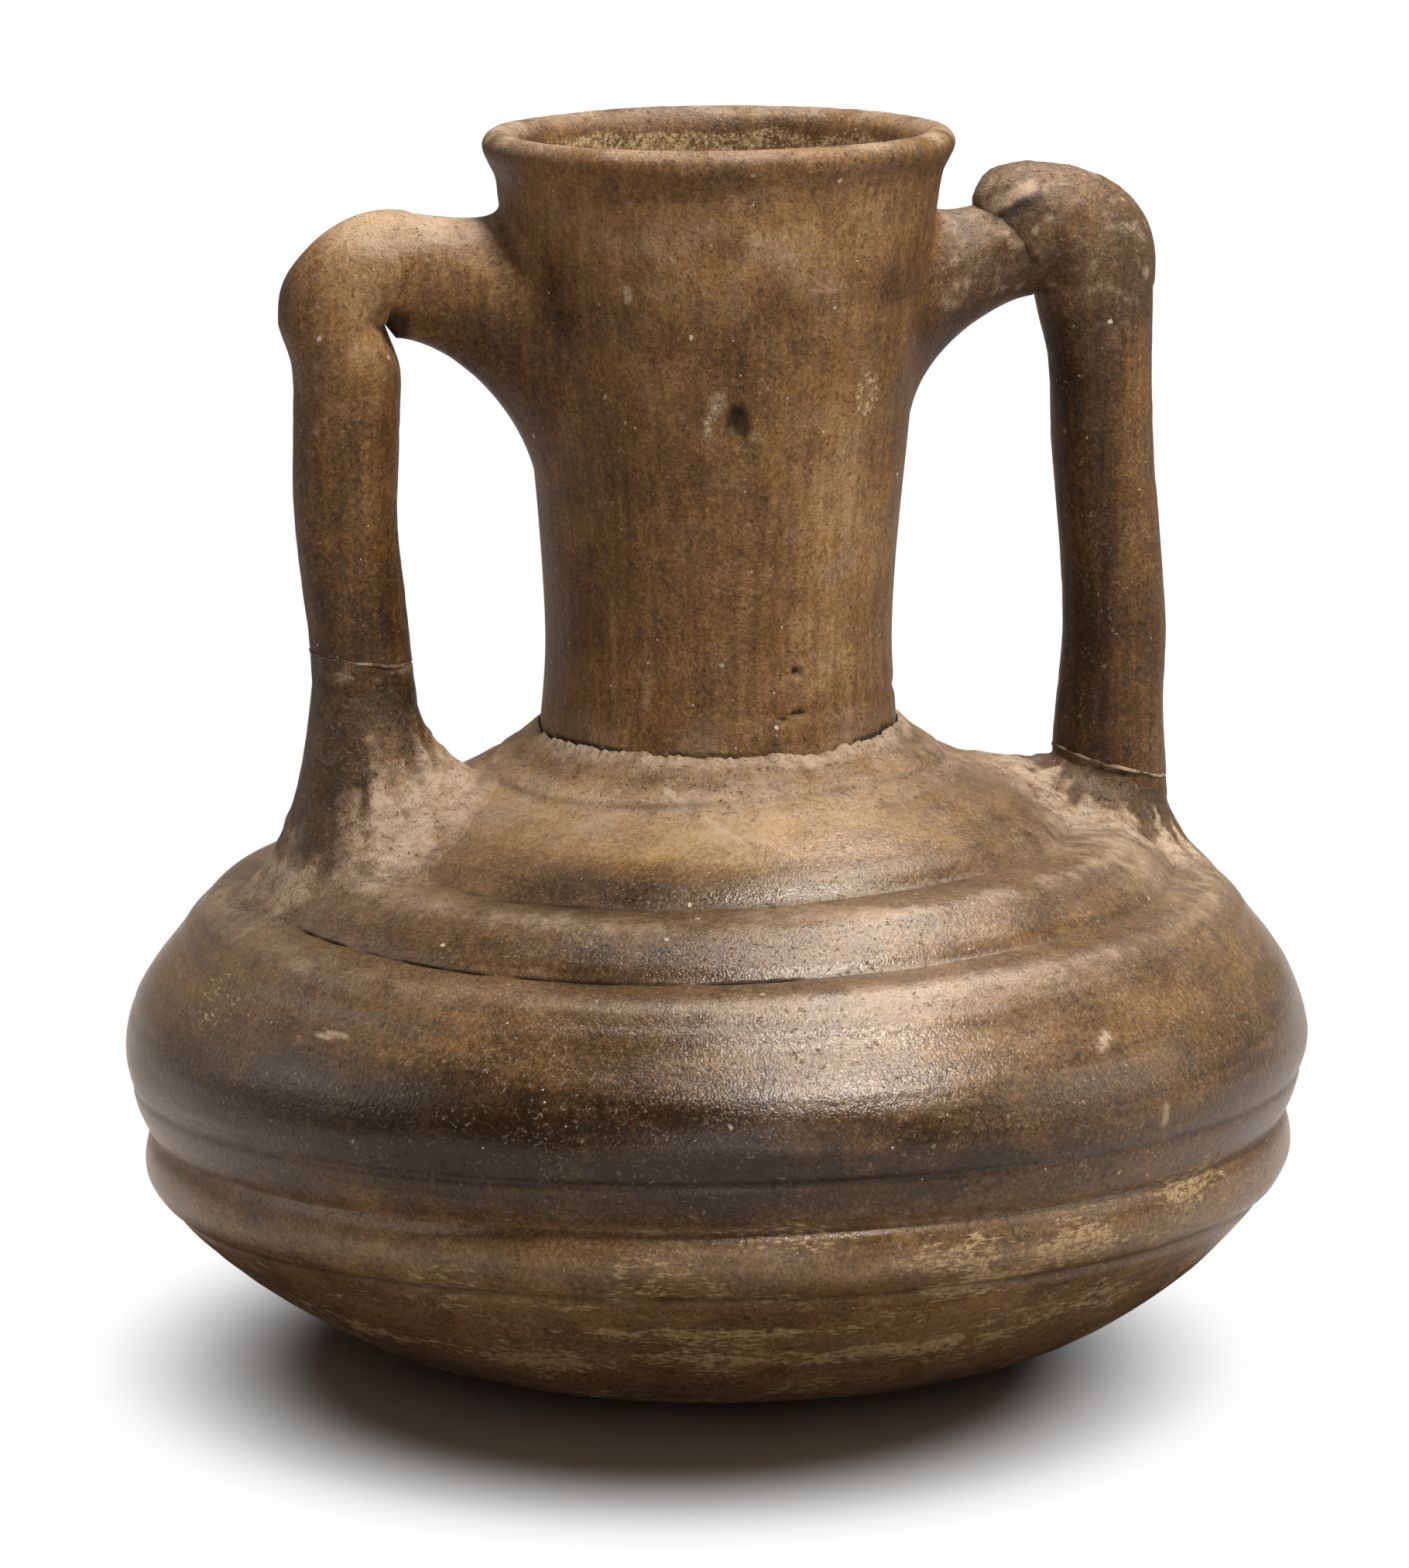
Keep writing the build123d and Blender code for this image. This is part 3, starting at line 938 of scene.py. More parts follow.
@dataclass
class PotBody:
    """The stacked rings of the body, from the bottom dish to the collar."""

    outline: PotOutline
    hand: PotterHand
    steps: int = 480
    row_spacing: float = 0.55
    gathering: float = 0.55
    inner_spacing: float = 3.0

    def inner_points(self, node: str) -> list[Point]:
        """The inner side of a ring, from above downwards, as a few corner points.

        Args:
            node: CAD node that the ring stands for.

        Returns:
            Radii and heights.
        """
        out = self.outline
        wall = out.body_wall
        bowl_in = (out.bowl_seam[0] - 0.88 * wall, out.bowl_seam[1] + 0.47 * wall)
        notch_in = (out.notch[0] - wall, out.notch[1] + 0.4)
        under_in = (out.under_belly[0] - wall, out.under_belly[1] + 0.2)
        groove_in = (out.belly_groove[0] - 0.62 * wall, out.belly_groove[1] - 0.79 * wall)
        shoulder_in = (out.shoulder_groove[0] - 0.47 * wall, out.shoulder_groove[1] - 0.88 * wall)
        throat = out.neck_foot_radius - out.neck_wall
        floor_edge = (out.rest_radius - 8.0, out.floor_wall)
        belly_in = (out.belly_radius - wall, out.under_belly[1] + 5.5)
        rise = out.belly_groove[1] - out.under_belly[1]
        crest_in = (out.belly_radius - 9.0, out.under_belly[1] + 0.52 * rise)
        inner = {
            "base_bowl": [bowl_in, (58.0, 12.4), floor_edge, (0.0, out.floor_wall), (0.0, 0.0)],
            "lower_coil": [notch_in, bowl_in],
            "under_belly_coil": [under_in, notch_in],
            "belly_coil": [groove_in, crest_in, belly_in, under_in],
            "shoulder_coil": [shoulder_in, groove_in],
            "collar_coil": [
                out.neck_seat,
                (throat, out.neck_seat[1]),
                (throat, out.collar_top[1]),
                shoulder_in,
            ],
        }
        return inner[node]

    def ring(self, node: str) -> Piece:
        """Turn, settle and paint one ring.

        Args:
            node: CAD node that the ring stands for.

        Returns:
            The painted piece.
        """
        run = self.outline.runs[node]
        outer = resample(run, int(line_length(run) / self.row_spacing) + 8, self.gathering)
        if node == "base_bowl":
            rest = np.linspace((1.5, 0.0), (self.outline.rest_radius, 0.0), 22)
            outer = np.vstack((rest[:-1], outer))
        corners = np.vstack((outer[-1:], self.inner_points(node), outer[:1]))
        rows = int(line_length(corners) / self.inner_spacing) + 4
        if node == "base_bowl":
            inner = resample(corners[:-1], rows)[1:]
        else:
            inner = resample(corners, rows)[1:-1]
        piece, points, skin = turned_ring(f"{node}_fired", outer, inner, self.steps)
        settled = self.hand.settle(self.hand.push(points, self.hand.skin(points, skin)))
        if node == "base_bowl":
            settled[:, 2] = np.maximum(settled[:, 2], 0.0)
        write_points(piece, settled)
        write_paint(piece, self.hand.body_paint(points, settled, skin))
        return piece

    def build(self, material: Material) -> None:
        """Make all the rings of the body and dress them."""
        for node in self.outline.runs:
            finish_piece(self.ring(node), node, material)


@dataclass
class PotNeck:
    """The neck tube, its rolled rim and the clay wiped round its foot."""

    outline: PotOutline
    hand: PotterHand
    steps: int = 320
    bead_steps: int = 720
    row_spacing: float = 0.62
    inner_spacing: float = 0.85
    crust_from: float = 118.0
    crust_height: float = 1.35
    crown_drop: float = 1.1

    def seam_line(self, points: Array) -> Array:
        """How far the edge of the luting clay strays up and down."""
        angle, _, _ = view_frame(points)
        around = circle_spots(angle, 26)
        return 0.8 * Grain(21).lumps(around, 8.0) - 0.5 * np.abs(Grain(22).lumps(around, 3.7))

    def seam_teeth(self, points: Array) -> Array:
        """How far the small teeth of that edge stand up, close to the neck only."""
        angle, _, _ = view_frame(points)
        around = circle_spots(angle, 26)
        return 0.40 * Grain(23).lumps(around, 1.4) + 0.30 * Grain(26).lumps(around, 0.6)

    def seam_painted_shade(self, points: Array) -> Array:
        """Painted shade of the crack on the neck along that edge, from 0 to 1, wider here and there.

        Args:
            points: Points of the true pot.

        Returns:
            A value for each point.
        """
        edge = self.outline.bead[-1, 1] + self.seam_line(points) + self.seam_teeth(points)
        level = points * (1, 1, 0)
        width = 0.52 + 0.34 * Grain(29).lumps(level, 5.0)
        opened = ease(-0.55, 0.15, Grain(30).rough(level, 7.0))
        return hump(points[:, 2] - edge, 0.15, width) * opened

    def tube(self) -> Piece:
        """The neck, dragged upright on the outside and crusted with soil inside its mouth.

        Returns:
            The painted piece.
        """
        out = self.outline
        rows = int((out.rim_seam[1] - out.neck_seat[1]) / self.row_spacing)
        outer = resample(out.neck_run(), rows)
        inner_run = out.neck_run(out.neck_wall)[::-1]
        inner = resample(inner_run, int(rows * self.row_spacing / self.inner_spacing))
        piece, points, skin = turned_ring("neck_tube_fired", outer, inner, self.steps)
        inside = 1 - skin
        _, _, radius = view_frame(points)
        off = self.hand.neck_skin(points) * skin
        lumps = np.abs(Grain(34).rough(points, 2.6)) + 0.6 * np.abs(Grain(35).rough(points, 1.3))
        soil = self.soil(points) * inside
        moved = self.hand.push(points, off)
        moved[:, :2] *= (1 - (soil * lumps * self.crust_height) / np.maximum(radius, 1))[:, None]
        settled = self.hand.settle(moved)
        write_points(piece, settled)
        paint = self.hand.neck_paint(points, settled, skin)
        paint[:, Grade.CRUST] += soil * (0.9 + 0.6 * lumps)
        paint[:, Grade.TONE] += 0.35 * soil
        paint[:, Grade.SHADE] += 0.25 * inside * (1 - soil)
        paint[:, Grade.SHADE] += 0.95 * skin * self.seam_painted_shade(points)
        write_paint(piece, paint)
        return piece

    def patches(self, points: Array) -> Array:
        """Where soil has stayed in the mouth, from 0 to 1."""
        return ease(-0.45, 0.25, Grain(38).rough(points, 15.0))

    def soil(self, points: Array) -> Array:
        """How thickly soil clings to the inside of the neck, from 0 to 1."""
        top = self.outline.rim_seam[1]
        return self.patches(points) * ease(self.crust_from, top - 22, points[:, 2])

    def bead(self) -> Piece:
        """The luting clay, with a ragged lip that has cracked away from the neck.

        Returns:
            The painted piece.
        """
        out = self.outline
        outer = out.bead
        lip = outer[-1]
        inner = resample(np.array([
            (lip[0] - 0.12, lip[1] - 0.8),
            (lip[0] - 0.15, lip[1] - 1.6),
            (out.neck_seat[0] + 0.8, out.neck_seat[1] - 1.2),
            (out.collar_top[0] - 0.5, out.collar_top[1] - 0.9),
        ]), 12)
        piece, points, skin = turned_ring("neck_luting_bead_fired", outer, inner, self.bead_steps)
        height = points[:, 2]
        radius = np.hypot(points[:, 0], points[:, 1])
        angle, _, _ = view_frame(points)
        lipped = ease(out.collar_top[1] + 3.2, lip[1] - 0.4, height)
        around = circle_spots(angle, 28, height)
        lumps = 0.28 * Grain(24).lumps(around, (4.5, 4.5, 2.5))
        lumps += 0.12 * Grain(25).lumps(around, (1.3, 1.3, 0.9))
        free = ease(outer[0, 1] + 0.8, outer[0, 1] + 3.0, height)
        free = free * ease(lip[1] + 0.2, lip[1] - 1.0, height)
        near_skin = ease(out.collar_top[1] + 2.6, out.collar_top[1] + 1.0, height)
        points = self.hand.push(points, self.hand.skin(points, skin) * near_skin)
        moved = points.copy()
        toothed = ease(lip[1] - 1.0, lip[1] - 0.1, height)
        moved[:, 2] += lipped * self.seam_line(points) + toothed * self.seam_teeth(points)
        moved[:, 2] += skin * free * lumps * 0.7
        out_by = skin * free * lumps * 0.5
        moved[:, :2] *= (1 + out_by / np.maximum(radius, 1))[:, None]
        settled = self.hand.settle(moved)
        write_points(piece, settled)
        below = self.hand.body_paint(points, settled, skin)
        paint = fresh_paint(len(points), 0.54)
        dust = 0.20 + 0.34 * lipped + 0.30 * Grain(27).rough(settled, 2.0)
        paint[:, Grade.DUST] = skin * dust
        paint[:, Grade.TONE] += 0.06 * Grain(28).rough(settled, 8.0)
        low = ease(out.collar_top[1] + 3.0, out.collar_top[1] + 0.6, height)[:, None]
        paint = paint * (1 - low) + below * low
        # Painted shade in the crack where the lip has come away from the neck.
        painted_shade = ease(lip[0] + 0.25, lip[0] + 0.02, radius)
        paint[:, Grade.SHADE] = np.maximum(painted_shade, paint[:, Grade.SHADE])
        write_paint(piece, paint)
        return piece

    def rim(self) -> Piece:
        """The rolled lip, rubbed pale along its crown.

        Returns:
            The painted piece.
        """
        out = self.outline
        seam, lip, crown = out.rim_seam, out.lip_radius, out.crown_height - self.crown_drop
        outer = curve([
            seam,
            (seam[0] + 0.18 * (lip - seam[0]), seam[1] + 1.3),
            (seam[0] + 0.54 * (lip - seam[0]), seam[1] + 2.7),
            (seam[0] + 0.90 * (lip - seam[0]), seam[1] + 4.0),
            (lip, seam[1] + 5.0),
            (lip - 0.25, seam[1] + 5.9),
            (lip - 1.1, crown - 0.25),
            (lip - 2.3, crown),
            (lip - 3.7, crown - 0.55),
            (lip - 4.9, crown - 1.7),
            (lip - 5.6, crown - 3.4),
            (seam[0] - out.neck_wall + 0.1, seam[1] + 1.2),
            (seam[0] - out.neck_wall, seam[1]),
        ], 72)
        inner = resample(np.array((outer[-1], outer[0])), 7)[1:-1]
        piece, points, skin = turned_ring("rim_coil_fired", outer, inner, self.steps)
        angle, _, radius = view_frame(points)
        height = points[:, 2]
        around = circle_spots(angle, 32, height)
        free = ease(seam[1], seam[1] + 2.5, height) * skin
        lumps = 0.25 * Grain(51).lumps(around, (14.0, 14.0, 9.0))
        lumps += 0.07 * Grain(52).lumps(around, 2.0)
        sway = 0.3 * Grain(53).lumps(around, (24.0, 24.0, 40.0))
        sway += 0.06 * Grain(54).lumps(around, 1.6)
        moved = points.copy()
        moved[:, :2] *= (1 + free * lumps / np.maximum(radius, 1))[:, None]
        moved[:, 2] += free * sway
        settled = self.hand.settle(moved)
        write_points(piece, settled)
        paint = self.hand.neck_paint(points, settled, skin)
        crowned = ease(seam[1] + 4.5, crown - 0.6, height)
        paint[:, Grade.DUST] += skin * crowned * (0.30 + 0.45 * Grain(55).rough(settled, 4.0))
        under = hump(height, seam[1] + 1.4, 0.9) * (radius > seam[0] - 1)
        paint[:, Grade.SHADE] += 0.06 * under + 0.2 * (1 - crowned) * (radius < seam[0] - 2)
        ragged = 1.2 * Grain(56).rough(settled, 5.0)
        inside = ease(seam[0] - 2.6, seam[0] - 3.6, radius)
        inside = inside * ease(crown - 2.6, crown - 3.8, height + ragged) * skin
        soil = inside * self.patches(points)
        paint[:, Grade.CRUST] += soil * (1.0 + 0.4 * Grain(57).rough(settled, 2.0))
        paint[:, Grade.TONE] += 0.15 * soil
        write_paint(piece, paint)
        return piece

    def build(self, neck_clay: Material, luting_clay: Material) -> None:
        """Make the neck's pieces and dress them.

        Args:
            neck_clay: Finish of the tube and the rim.
            luting_clay: Finish of the clay round the foot.
        """
        finish_piece(self.tube(), "neck_tube", neck_clay)
        finish_piece(self.bead(), "neck_luting_bead", luting_clay)
        finish_piece(self.rim(), "rim_coil", neck_clay)


@dataclass
class Handle:
    """One handle: arm, bent-over post, film of glue, stump and the clay smeared round its foot.

    Reaches are distances from the pot's axis along X, on the handle's own side.
    """

    side: Side
    outline: PotOutline
    hand: PotterHand
    fold: Point
    stations: tuple[tuple[float, float, float], ...]
    elbow: tuple[Point, ...]
    lap_turn: float
    lap_end: tuple[Point, ...]
    arm_turn: float
    arm_half_depth: float
    arm_half_width: float
    arm_drop: float
    neck_top: float
    neck_bottom: float
    neck_half_width: float
    break_height: float
    break_slope: float
    wad_drop: float
    wad_centre: float
    wad_outer: float
    wad_inner: float
    wad_half_width: float
    stump_tone: float
    seed: int
    around: int = 112
    flatness: float = 0.97
    stout_from: float = 7.6
    stout_share: float = 0.45
    glue_half_thickness: float = 0.22
    glue_rings: tuple[tuple[float, float, float], ...] = (
        (-1.0, 0.4, 0.0),
        (-1.0, 0.95, 0.0),
        (-0.6, 1.0, 1.0),
        (0.6, 1.0, 1.0),
        (1.0, 0.95, 0.0),
        (1.0, 0.4, 0.0),
    )
    clay_tone: float = 0.44
    scar_highlight_start: Point = (37.6, 158.7)
    scar_highlight_length: float = 7.9
    scar_highlight_tilt: float = math.radians(27.0)

    def __post_init__(self) -> None:
        """Lay the post's middle line, as reach, height and half depth."""
        self.line = curve(list(self.stations), 240)

    def name(self, part: str) -> str:
        """The node name of a part of this handle."""
        return f"{self.side.name.lower()}_handle_{part}"

    def turn_angles(self) -> Array:
        """Angles round a section, from its outer side."""
        return np.linspace(0, FULL_TURN, self.around, endpoint=False)

    def turn_spots(self) -> Array:
        """Places round a circle about as large as the roll, to read noise at."""
        return circle_spots(self.turn_angles(), 7)

    def post_middle(self, height: float) -> Point:
        """Reach of the post's middle and half its depth at a height."""
        reach = np.interp(height, self.line[:, 1], self.line[:, 0])
        return float(reach), float(np.interp(height, self.line[:, 1], self.line[:, 2]))

    def half_width(self, half_depth: float) -> float:
        """Half the roll's width along Y; a thick elbow is less wide than deep."""
        stout = max(0.0, half_depth - self.stout_from)
        return self.flatness * (half_depth - (1 - self.stout_share) * stout)

    def break_at(self, reach: Array, depth: Array) -> Array:
        """Height of the old break at a place across the post.

        Args:
            reach: Reach of each place.
            depth: Depth of each place, along Y.

        Returns:
            A height for each place.
        """
        centre = self.post_middle(self.break_height)[0]
        spot = np.stack((reach, depth, np.zeros_like(reach)), 1)
        ragged = 0.35 * Grain(self.seed).lumps(spot, 3.0)
        ragged += 0.15 * Grain(self.seed + 1).lumps(spot, 1.2)
        return self.break_height + self.break_slope * (reach - centre) + ragged

    def break_lift(self, rings: Array) -> Array:
        """How far the old break stands above its mean height at each point of some rings."""
        height = self.break_at(rings[..., 0].ravel(), rings[..., 1].ravel())
        return (height - self.break_height).reshape(rings.shape[:2])

    def section(self, centre: Point, out: Point, half_depth: float, half_width: float) -> Array:
        """One ring across the roll.

        Args:
            centre: Middle of the ring, as reach and height.
            out: Direction from the middle to the ring's outer side, as reach and height.
            half_depth: Half the ring's size along that direction.
            half_width: Half its size along Y.

        Returns:
            The ring's points, as reach, depth and height.
        """
        turn = self.turn_angles()
        across = half_depth * np.cos(turn)
        return np.stack((
            centre[0] + out[0] * across,
            half_width * np.sin(turn),
            centre[1] + out[1] * across,
        ), 1)

    def upright_section(self, height: float) -> Array:
        """A level ring of the post at a height."""
        reach, half = self.post_middle(height)
        return self.section((reach, height), (1.0, 0.0), half, self.half_width(half))

    def fan_section(self, turn: float, half_depth: float, half_width: float) -> Array:
        """A ring that hinges on the fold at the inner corner of the elbow.

        Args:
            turn: How far it has swung up from the level, in degrees.
            half_depth: Half the ring's size away from the fold.
            half_width: Half its size along Y.

        Returns:
            The ring's points, as reach, depth and height.
        """
        out = (math.cos(math.radians(turn)), math.sin(math.radians(turn)))
        centre = (self.fold[0] + out[0] * half_depth, self.fold[1] + out[1] * half_depth)
        return self.section(centre, out, half_depth, half_width)

    def mirror(self, rings: Array) -> Array:
        """Points between reach, depth and height and the pot's own X, Y and Z, in a row each."""
        return rings.reshape(-1, 3) * (self.side.value, 1, 1)

    def to_pot(self, rings: Array) -> Array:
        """Rings from reach, depth and height to the built pot's own frame."""
        return self.hand.settle(self.mirror(rings)).reshape(rings.shape)

    def drag(self, rings: Array, along: Array, amount: float) -> Array:
        """Push rings in and out by drag marks that run along the roll.

        Args:
            rings: Points as reach, depth and height.
            along: Distance along the roll for each ring.
            amount: Depth of the marks.

        Returns:
            The dragged rings.
        """
        spots = np.repeat(self.turn_spots()[None], len(along), axis=0)
        spots[..., 2] = along[:, None]
        spots = spots.reshape(-1, 3)
        marks = Grain(self.seed + 2).lumps(spots, (1.5, 1.5, 18.0))
        marks += 2.4 * Grain(self.seed + 3).lumps(spots, (5.0, 5.0, 10.0))
        marks += 0.5 * Grain(self.seed + 4).lumps(spots, (1.6, 1.6, 2.0))
        spoke = unit(rings - rings.mean(axis=1, keepdims=True))
        corner = np.hypot(rings[..., 0] - self.fold[0], rings[..., 2] - self.fold[1])
        calm = np.minimum(1, np.hypot(corner, 0.5 * rings[..., 1]) / 4)
        return rings + spoke * (amount * marks.reshape(rings.shape[:2]) * calm)[..., None]

    def post_rings(self) -> tuple[Array, Array]:
        """The post from the break to the fold, and its top hinged over to the lap.

        Returns:
            The rings, and the distance along the roll for each.
        """
        heights = np.linspace(self.break_height, self.fold[1], 110)
        rings = [self.upright_section(height) for height in heights]
        turns = np.linspace(0, self.lap_turn, 56)[1:]
        depths = np.interp(turns, [e[0] for e in self.elbow], [e[1] for e in self.elbow])
        depths = smooth(depths, 4)
        for turn, depth in zip(turns, depths):
            rings.append(self.fan_section(turn, depth, self.half_width(depth)))
        for step, share in self.lap_end:
            ring = self.fan_section(self.lap_turn + step, depths[-1], self.half_width(depths[-1]))
            middle = ring.mean(axis=0)
            rings.append(middle + (ring - middle) * share)
        rings = np.array(rings)
        steps = np.linalg.norm(np.diff(rings.mean(axis=1), axis=0), axis=1)
        return rings, np.concatenate(([0], np.cumsum(steps)))

    def post(self) -> Piece:
        """The upright roll with its bent-over top.

        Returns:
            The painted piece.
        """
        rings, along = self.post_rings()
        rings = self.drag(rings, along, 0.10)
        if self.side is Side.RIGHT:
            flat = rings.reshape(-1, 3)
            lumps = Grain(self.seed + 19).lumps(flat, 3.2)
            lumps += 0.5 * Grain(self.seed + 20).lumps(flat, 1.5)
            spoke = unit(rings - rings.mean(axis=1, keepdims=True))
            late = ease(along[-1] - 16, along[-1] - 6, along)[:, None]
            rings = rings + spoke * (0.45 * late * lumps.reshape(rings.shape[:2]))[..., None]
        lift = self.break_lift(rings) + self.glue_half_thickness
        rings[..., 2] += lift * ease(9, 0, along)[:, None]
        placed = self.to_pot(rings)
        return drawn_roll(f"{self.name('post')}_fired", placed, self.roll_paint(placed))

    def roll_paint(self, placed: Array) -> Array:
        """Tone, dust and shade of the arm and the post, by place, so that they run on into each other.

        Args:
            placed: Rings in the pot's own frame.

        Returns:
            Paint, ring by ring.
        """
        flat = placed.reshape(-1, 3)
        paint = fresh_paint(len(flat), self.clay_tone)
        height = flat[:, 2]
        reach = flat[:, 0] * self.side.value
        grain = Grain(self.seed + 5)
        front = ease(3.0, -3.0, flat[:, 1])
        bent = ease(self.fold[1] - 14, self.fold[1] + 4, height)
        crest = ease(self.fold[1] + 9.0, self.fold[1] + 12.5, height + 0.8 * grain.lumps(flat, 5.0))
        tone = 0.09 * grain.rough(flat * (1, 1, 0.35), 6.0)
        dust = 0.10 * grain.rough(flat, 4.0)
        shade = np.zeros(len(flat))
        if self.side is Side.LEFT:
            tone += 0.36 * bent * front * hump(reach, 51.5, 5.5)
            tone -= 0.05 * ease(140, 128, height)
            tone += 0.12 * front * hump(reach, 38.0, 5.0) * hump(height, 152.0, 4.0)
            tone -= 0.10 * ease(46, 40, reach) * ease(152, 142, height)
            tone -= 0.14 * ease(116, 102, height)
            dust += crest * (0.60 + 0.35 * grain.rough(flat, 5.0))
            strip = hump(reach, 57.6 + 0.6 * np.sin(height * 0.21), 0.9) * front
            strip = strip * ease(118, 128, height) * ease(157, 150, height)
            shade += 0.42 * strip * (0.7 + 0.6 * grain.lumps(flat, 2.5))
            dust += strip * 0.5 * ease(0.35, 0.7, grain.lumps(flat, 0.9))
        else:
            tone -= 0.06 * bent
            dust += bent * (0.16 + 0.55 * ease(0.1, 0.9, grain.rough(flat, 1.7)))
            dust += 0.12 * ease(43, 38, reach) * ease(153, 157, height)
            # A chip scar on the knob, painted pale as a highlight on its facet, with painted shade in the
            # crevice below it.
            on_scar_highlight, over = self.scar_highlight(reach, height)
            tone -= 0.12 * front * hump(over, 0.0, 3.5) * on_scar_highlight
            dust += 1.2 * front * on_scar_highlight * hump(over, 0.0, 0.6)
            shade += 0.70 * front * on_scar_highlight * hump(over, -1.6, 0.7)
            shade += 0.30 * bent * ease(0.25, 0.8, Grain(self.seed + 21).rough(flat, 3.0))
            # Painted shade on the post's inner side, which faces away from the light, up to a facet edge.
            shaded_inner_side = ease(58.2, 54.2, reach + 0.8 * grain.lumps(flat, (9.0, 9.0, 7.0)))
            tone -= 0.26 * shaded_inner_side * ease(148, 136, height) * front
            tone -= 0.05 + 0.04 * ease(100, 84, height)
        paint[:, Grade.TONE] += tone
        paint[:, Grade.DUST] += dust
        paint[:, Grade.SHADE] += shade
        return paint.reshape(placed.shape[:2] + (4,))

    def scar_highlight(self, reach: Array, height: Array) -> tuple[Array, Array]:
        """A pale slash across the knob of a lapped elbow: a chip scar, painted paler as a highlight on
        its facet.

        Args:
            reach: Reach of each point.
            height: Height of each point.

        Returns:
            Ones along the slash, and the distance above it.
        """
        away = reach - self.scar_highlight_start[0]
        up = height - self.scar_highlight_start[1]
        along = away * math.cos(self.scar_highlight_tilt) + up * math.sin(self.scar_highlight_tilt)
        over = up * math.cos(self.scar_highlight_tilt) - away * math.sin(self.scar_highlight_tilt)
        on_scar_highlight = ease(-0.6, 0.8, along)
        on_scar_highlight = on_scar_highlight * ease(self.scar_highlight_length + 0.6, self.scar_highlight_length - 0.8, along)
        return on_scar_highlight, over

    def fillet(
        self,
        start: Array,
        leave: Array,
        end: Array,
        run_in: Array,
        count: int,
        pull: tuple[float | Array, float | Array],
    ) -> Array:
        """Rings that leave one ring along a direction and come to rest along a surface.

        Args:
            start: Points of the first ring.
            leave: Direction in which they leave it.
            end: Points of the last ring.
            run_in: Direction in which they run into it.
            count: Number of rings.
            pull: How far the curve keeps to the first and the last direction, as shares.

        Returns:
            The rings, first and last included.
        """
        span = end - start
        first_size = np.maximum(pull[0] * np.sum(span * leave, axis=1), 1.5)[:, None]
        second_size = np.maximum(pull[1] * np.sum(span * run_in, axis=1), 4.5)[:, None]
        first = start + first_size * leave
        second = end - second_size * run_in
        share = np.linspace(0, 1, count)[:, None, None]
        rest = 1 - share
        return (
            rest ** 3 * start
            + 3 * rest ** 2 * share * first
            + 3 * rest * share ** 2 * second
            + share ** 3 * end
        )

    def sunk(self, ring: Array, sink: float) -> Array:
        """A ring on the pot's surface, set a little under it."""
        return self.mirror(self.hand.push(self.mirror(ring), np.full(len(ring), -sink)))

    def neck_print(self, scale: float, sink: float) -> Array:
        """The arm's print on the neck.

        Args:
            scale: Size of the print, 1 for its full size.
            sink: How far under the neck's surface it lies.

        Returns:
            A ring of points, as reach, depth and height.
        """
        turn = self.turn_angles()
        middle = (self.neck_top + self.neck_bottom) / 2
        half = (self.neck_top - self.neck_bottom) / 2
        ragged = 1 + 0.05 * Grain(self.seed + 6).lumps(self.turn_spots(), 3.0)
        height = np.minimum(middle + scale * half * np.cos(turn) * ragged, self.outline.rim_seam[1])
        depth = scale * self.neck_half_width * np.sin(turn) * ragged
        reach = np.sqrt(self.outline.radius_at(height) ** 2 - depth ** 2)
        return self.sunk(np.stack((reach, depth, height), 1), sink)

    def neck_wear(self, skirt: Array) -> Array:
        """How far the built neck stands off its true line behind the points of a skirt.

        Args:
            skirt: Rings, as reach, depth and height.

        Returns:
            A shift for each point of the skirt.
        """
        flat = skirt.reshape(-1, 3)
        behind = flat.copy()
        across = np.maximum(self.outline.radius_at(flat[:, 2]) ** 2 - flat[:, 1] ** 2, 1.0)
        behind[:, 0] = np.sqrt(across)
        true = self.mirror(behind)
        moved = self.hand.push(true, self.hand.neck_skin(true))
        return self.mirror(moved - true).reshape(skirt.shape)

    def arm(self) -> Piece:
        """The roll from the elbow to the neck, wiped out over the neck.

        Returns:
            The painted piece.
        """
        turn = math.radians(self.arm_turn)
        start = self.fan_section(self.arm_turn, self.arm_half_depth, self.arm_half_width)
        under = (1 - np.cos(self.turn_angles())) / 2
        start[:, 2] -= self.arm_drop * under ** 2
        start[:, 0] -= 0.8 * self.arm_drop * under ** 2
        tucked = self.fan_section(
            self.arm_turn - 14, self.arm_half_depth - 0.5, self.arm_half_width - 0.4,
        )
        leave = np.broadcast_to(np.array((-math.sin(turn), 0.0, math.cos(turn))), start.shape)
        end = self.neck_print(1.0, 0.10)
        run_in = unit(self.neck_print(1.08, 0.10) - end)
        skirt = self.fillet(start, leave, end, run_in, 72, (0.40, 0.42))
        along = np.linspace(0, 26, len(skirt))
        calm = ease(24, 14, along)[:, None, None]
        skirt = skirt + (self.drag(skirt, along, 0.10) - skirt) * calm
        skirt = skirt + self.neck_wear(skirt) * ease(14, 24, along)[:, None, None]
        hidden = [self.neck_print(scale, 1.5) for scale in (0.97, 0.75, 0.5, 0.25, 0.04)]
        rings = np.vstack((tucked[None], skirt, np.array(hidden)))
        placed = self.to_pot(rings)
        paint = self.roll_paint(placed)
        share = np.concatenate(([0], np.linspace(0, 1, len(skirt)), np.ones(len(hidden))))[:, None]
        if self.side is Side.RIGHT:
            paint[..., Grade.SHADE] += 0.5 * ease(0.20, 0.06, share)
        else:
            paint[..., Grade.SHADE] += 0.9 * ease(0.10, 0.02, share) * ease(0.66, 0.86, under)
        flat = placed.reshape(-1, 3)
        neck = self.hand.neck_paint(self.mirror(rings), flat, np.ones(len(flat)))
        hem = ease(0.55, 0.97, share)[..., None]
        paint = paint * (1 - hem) + neck.reshape(paint.shape) * hem
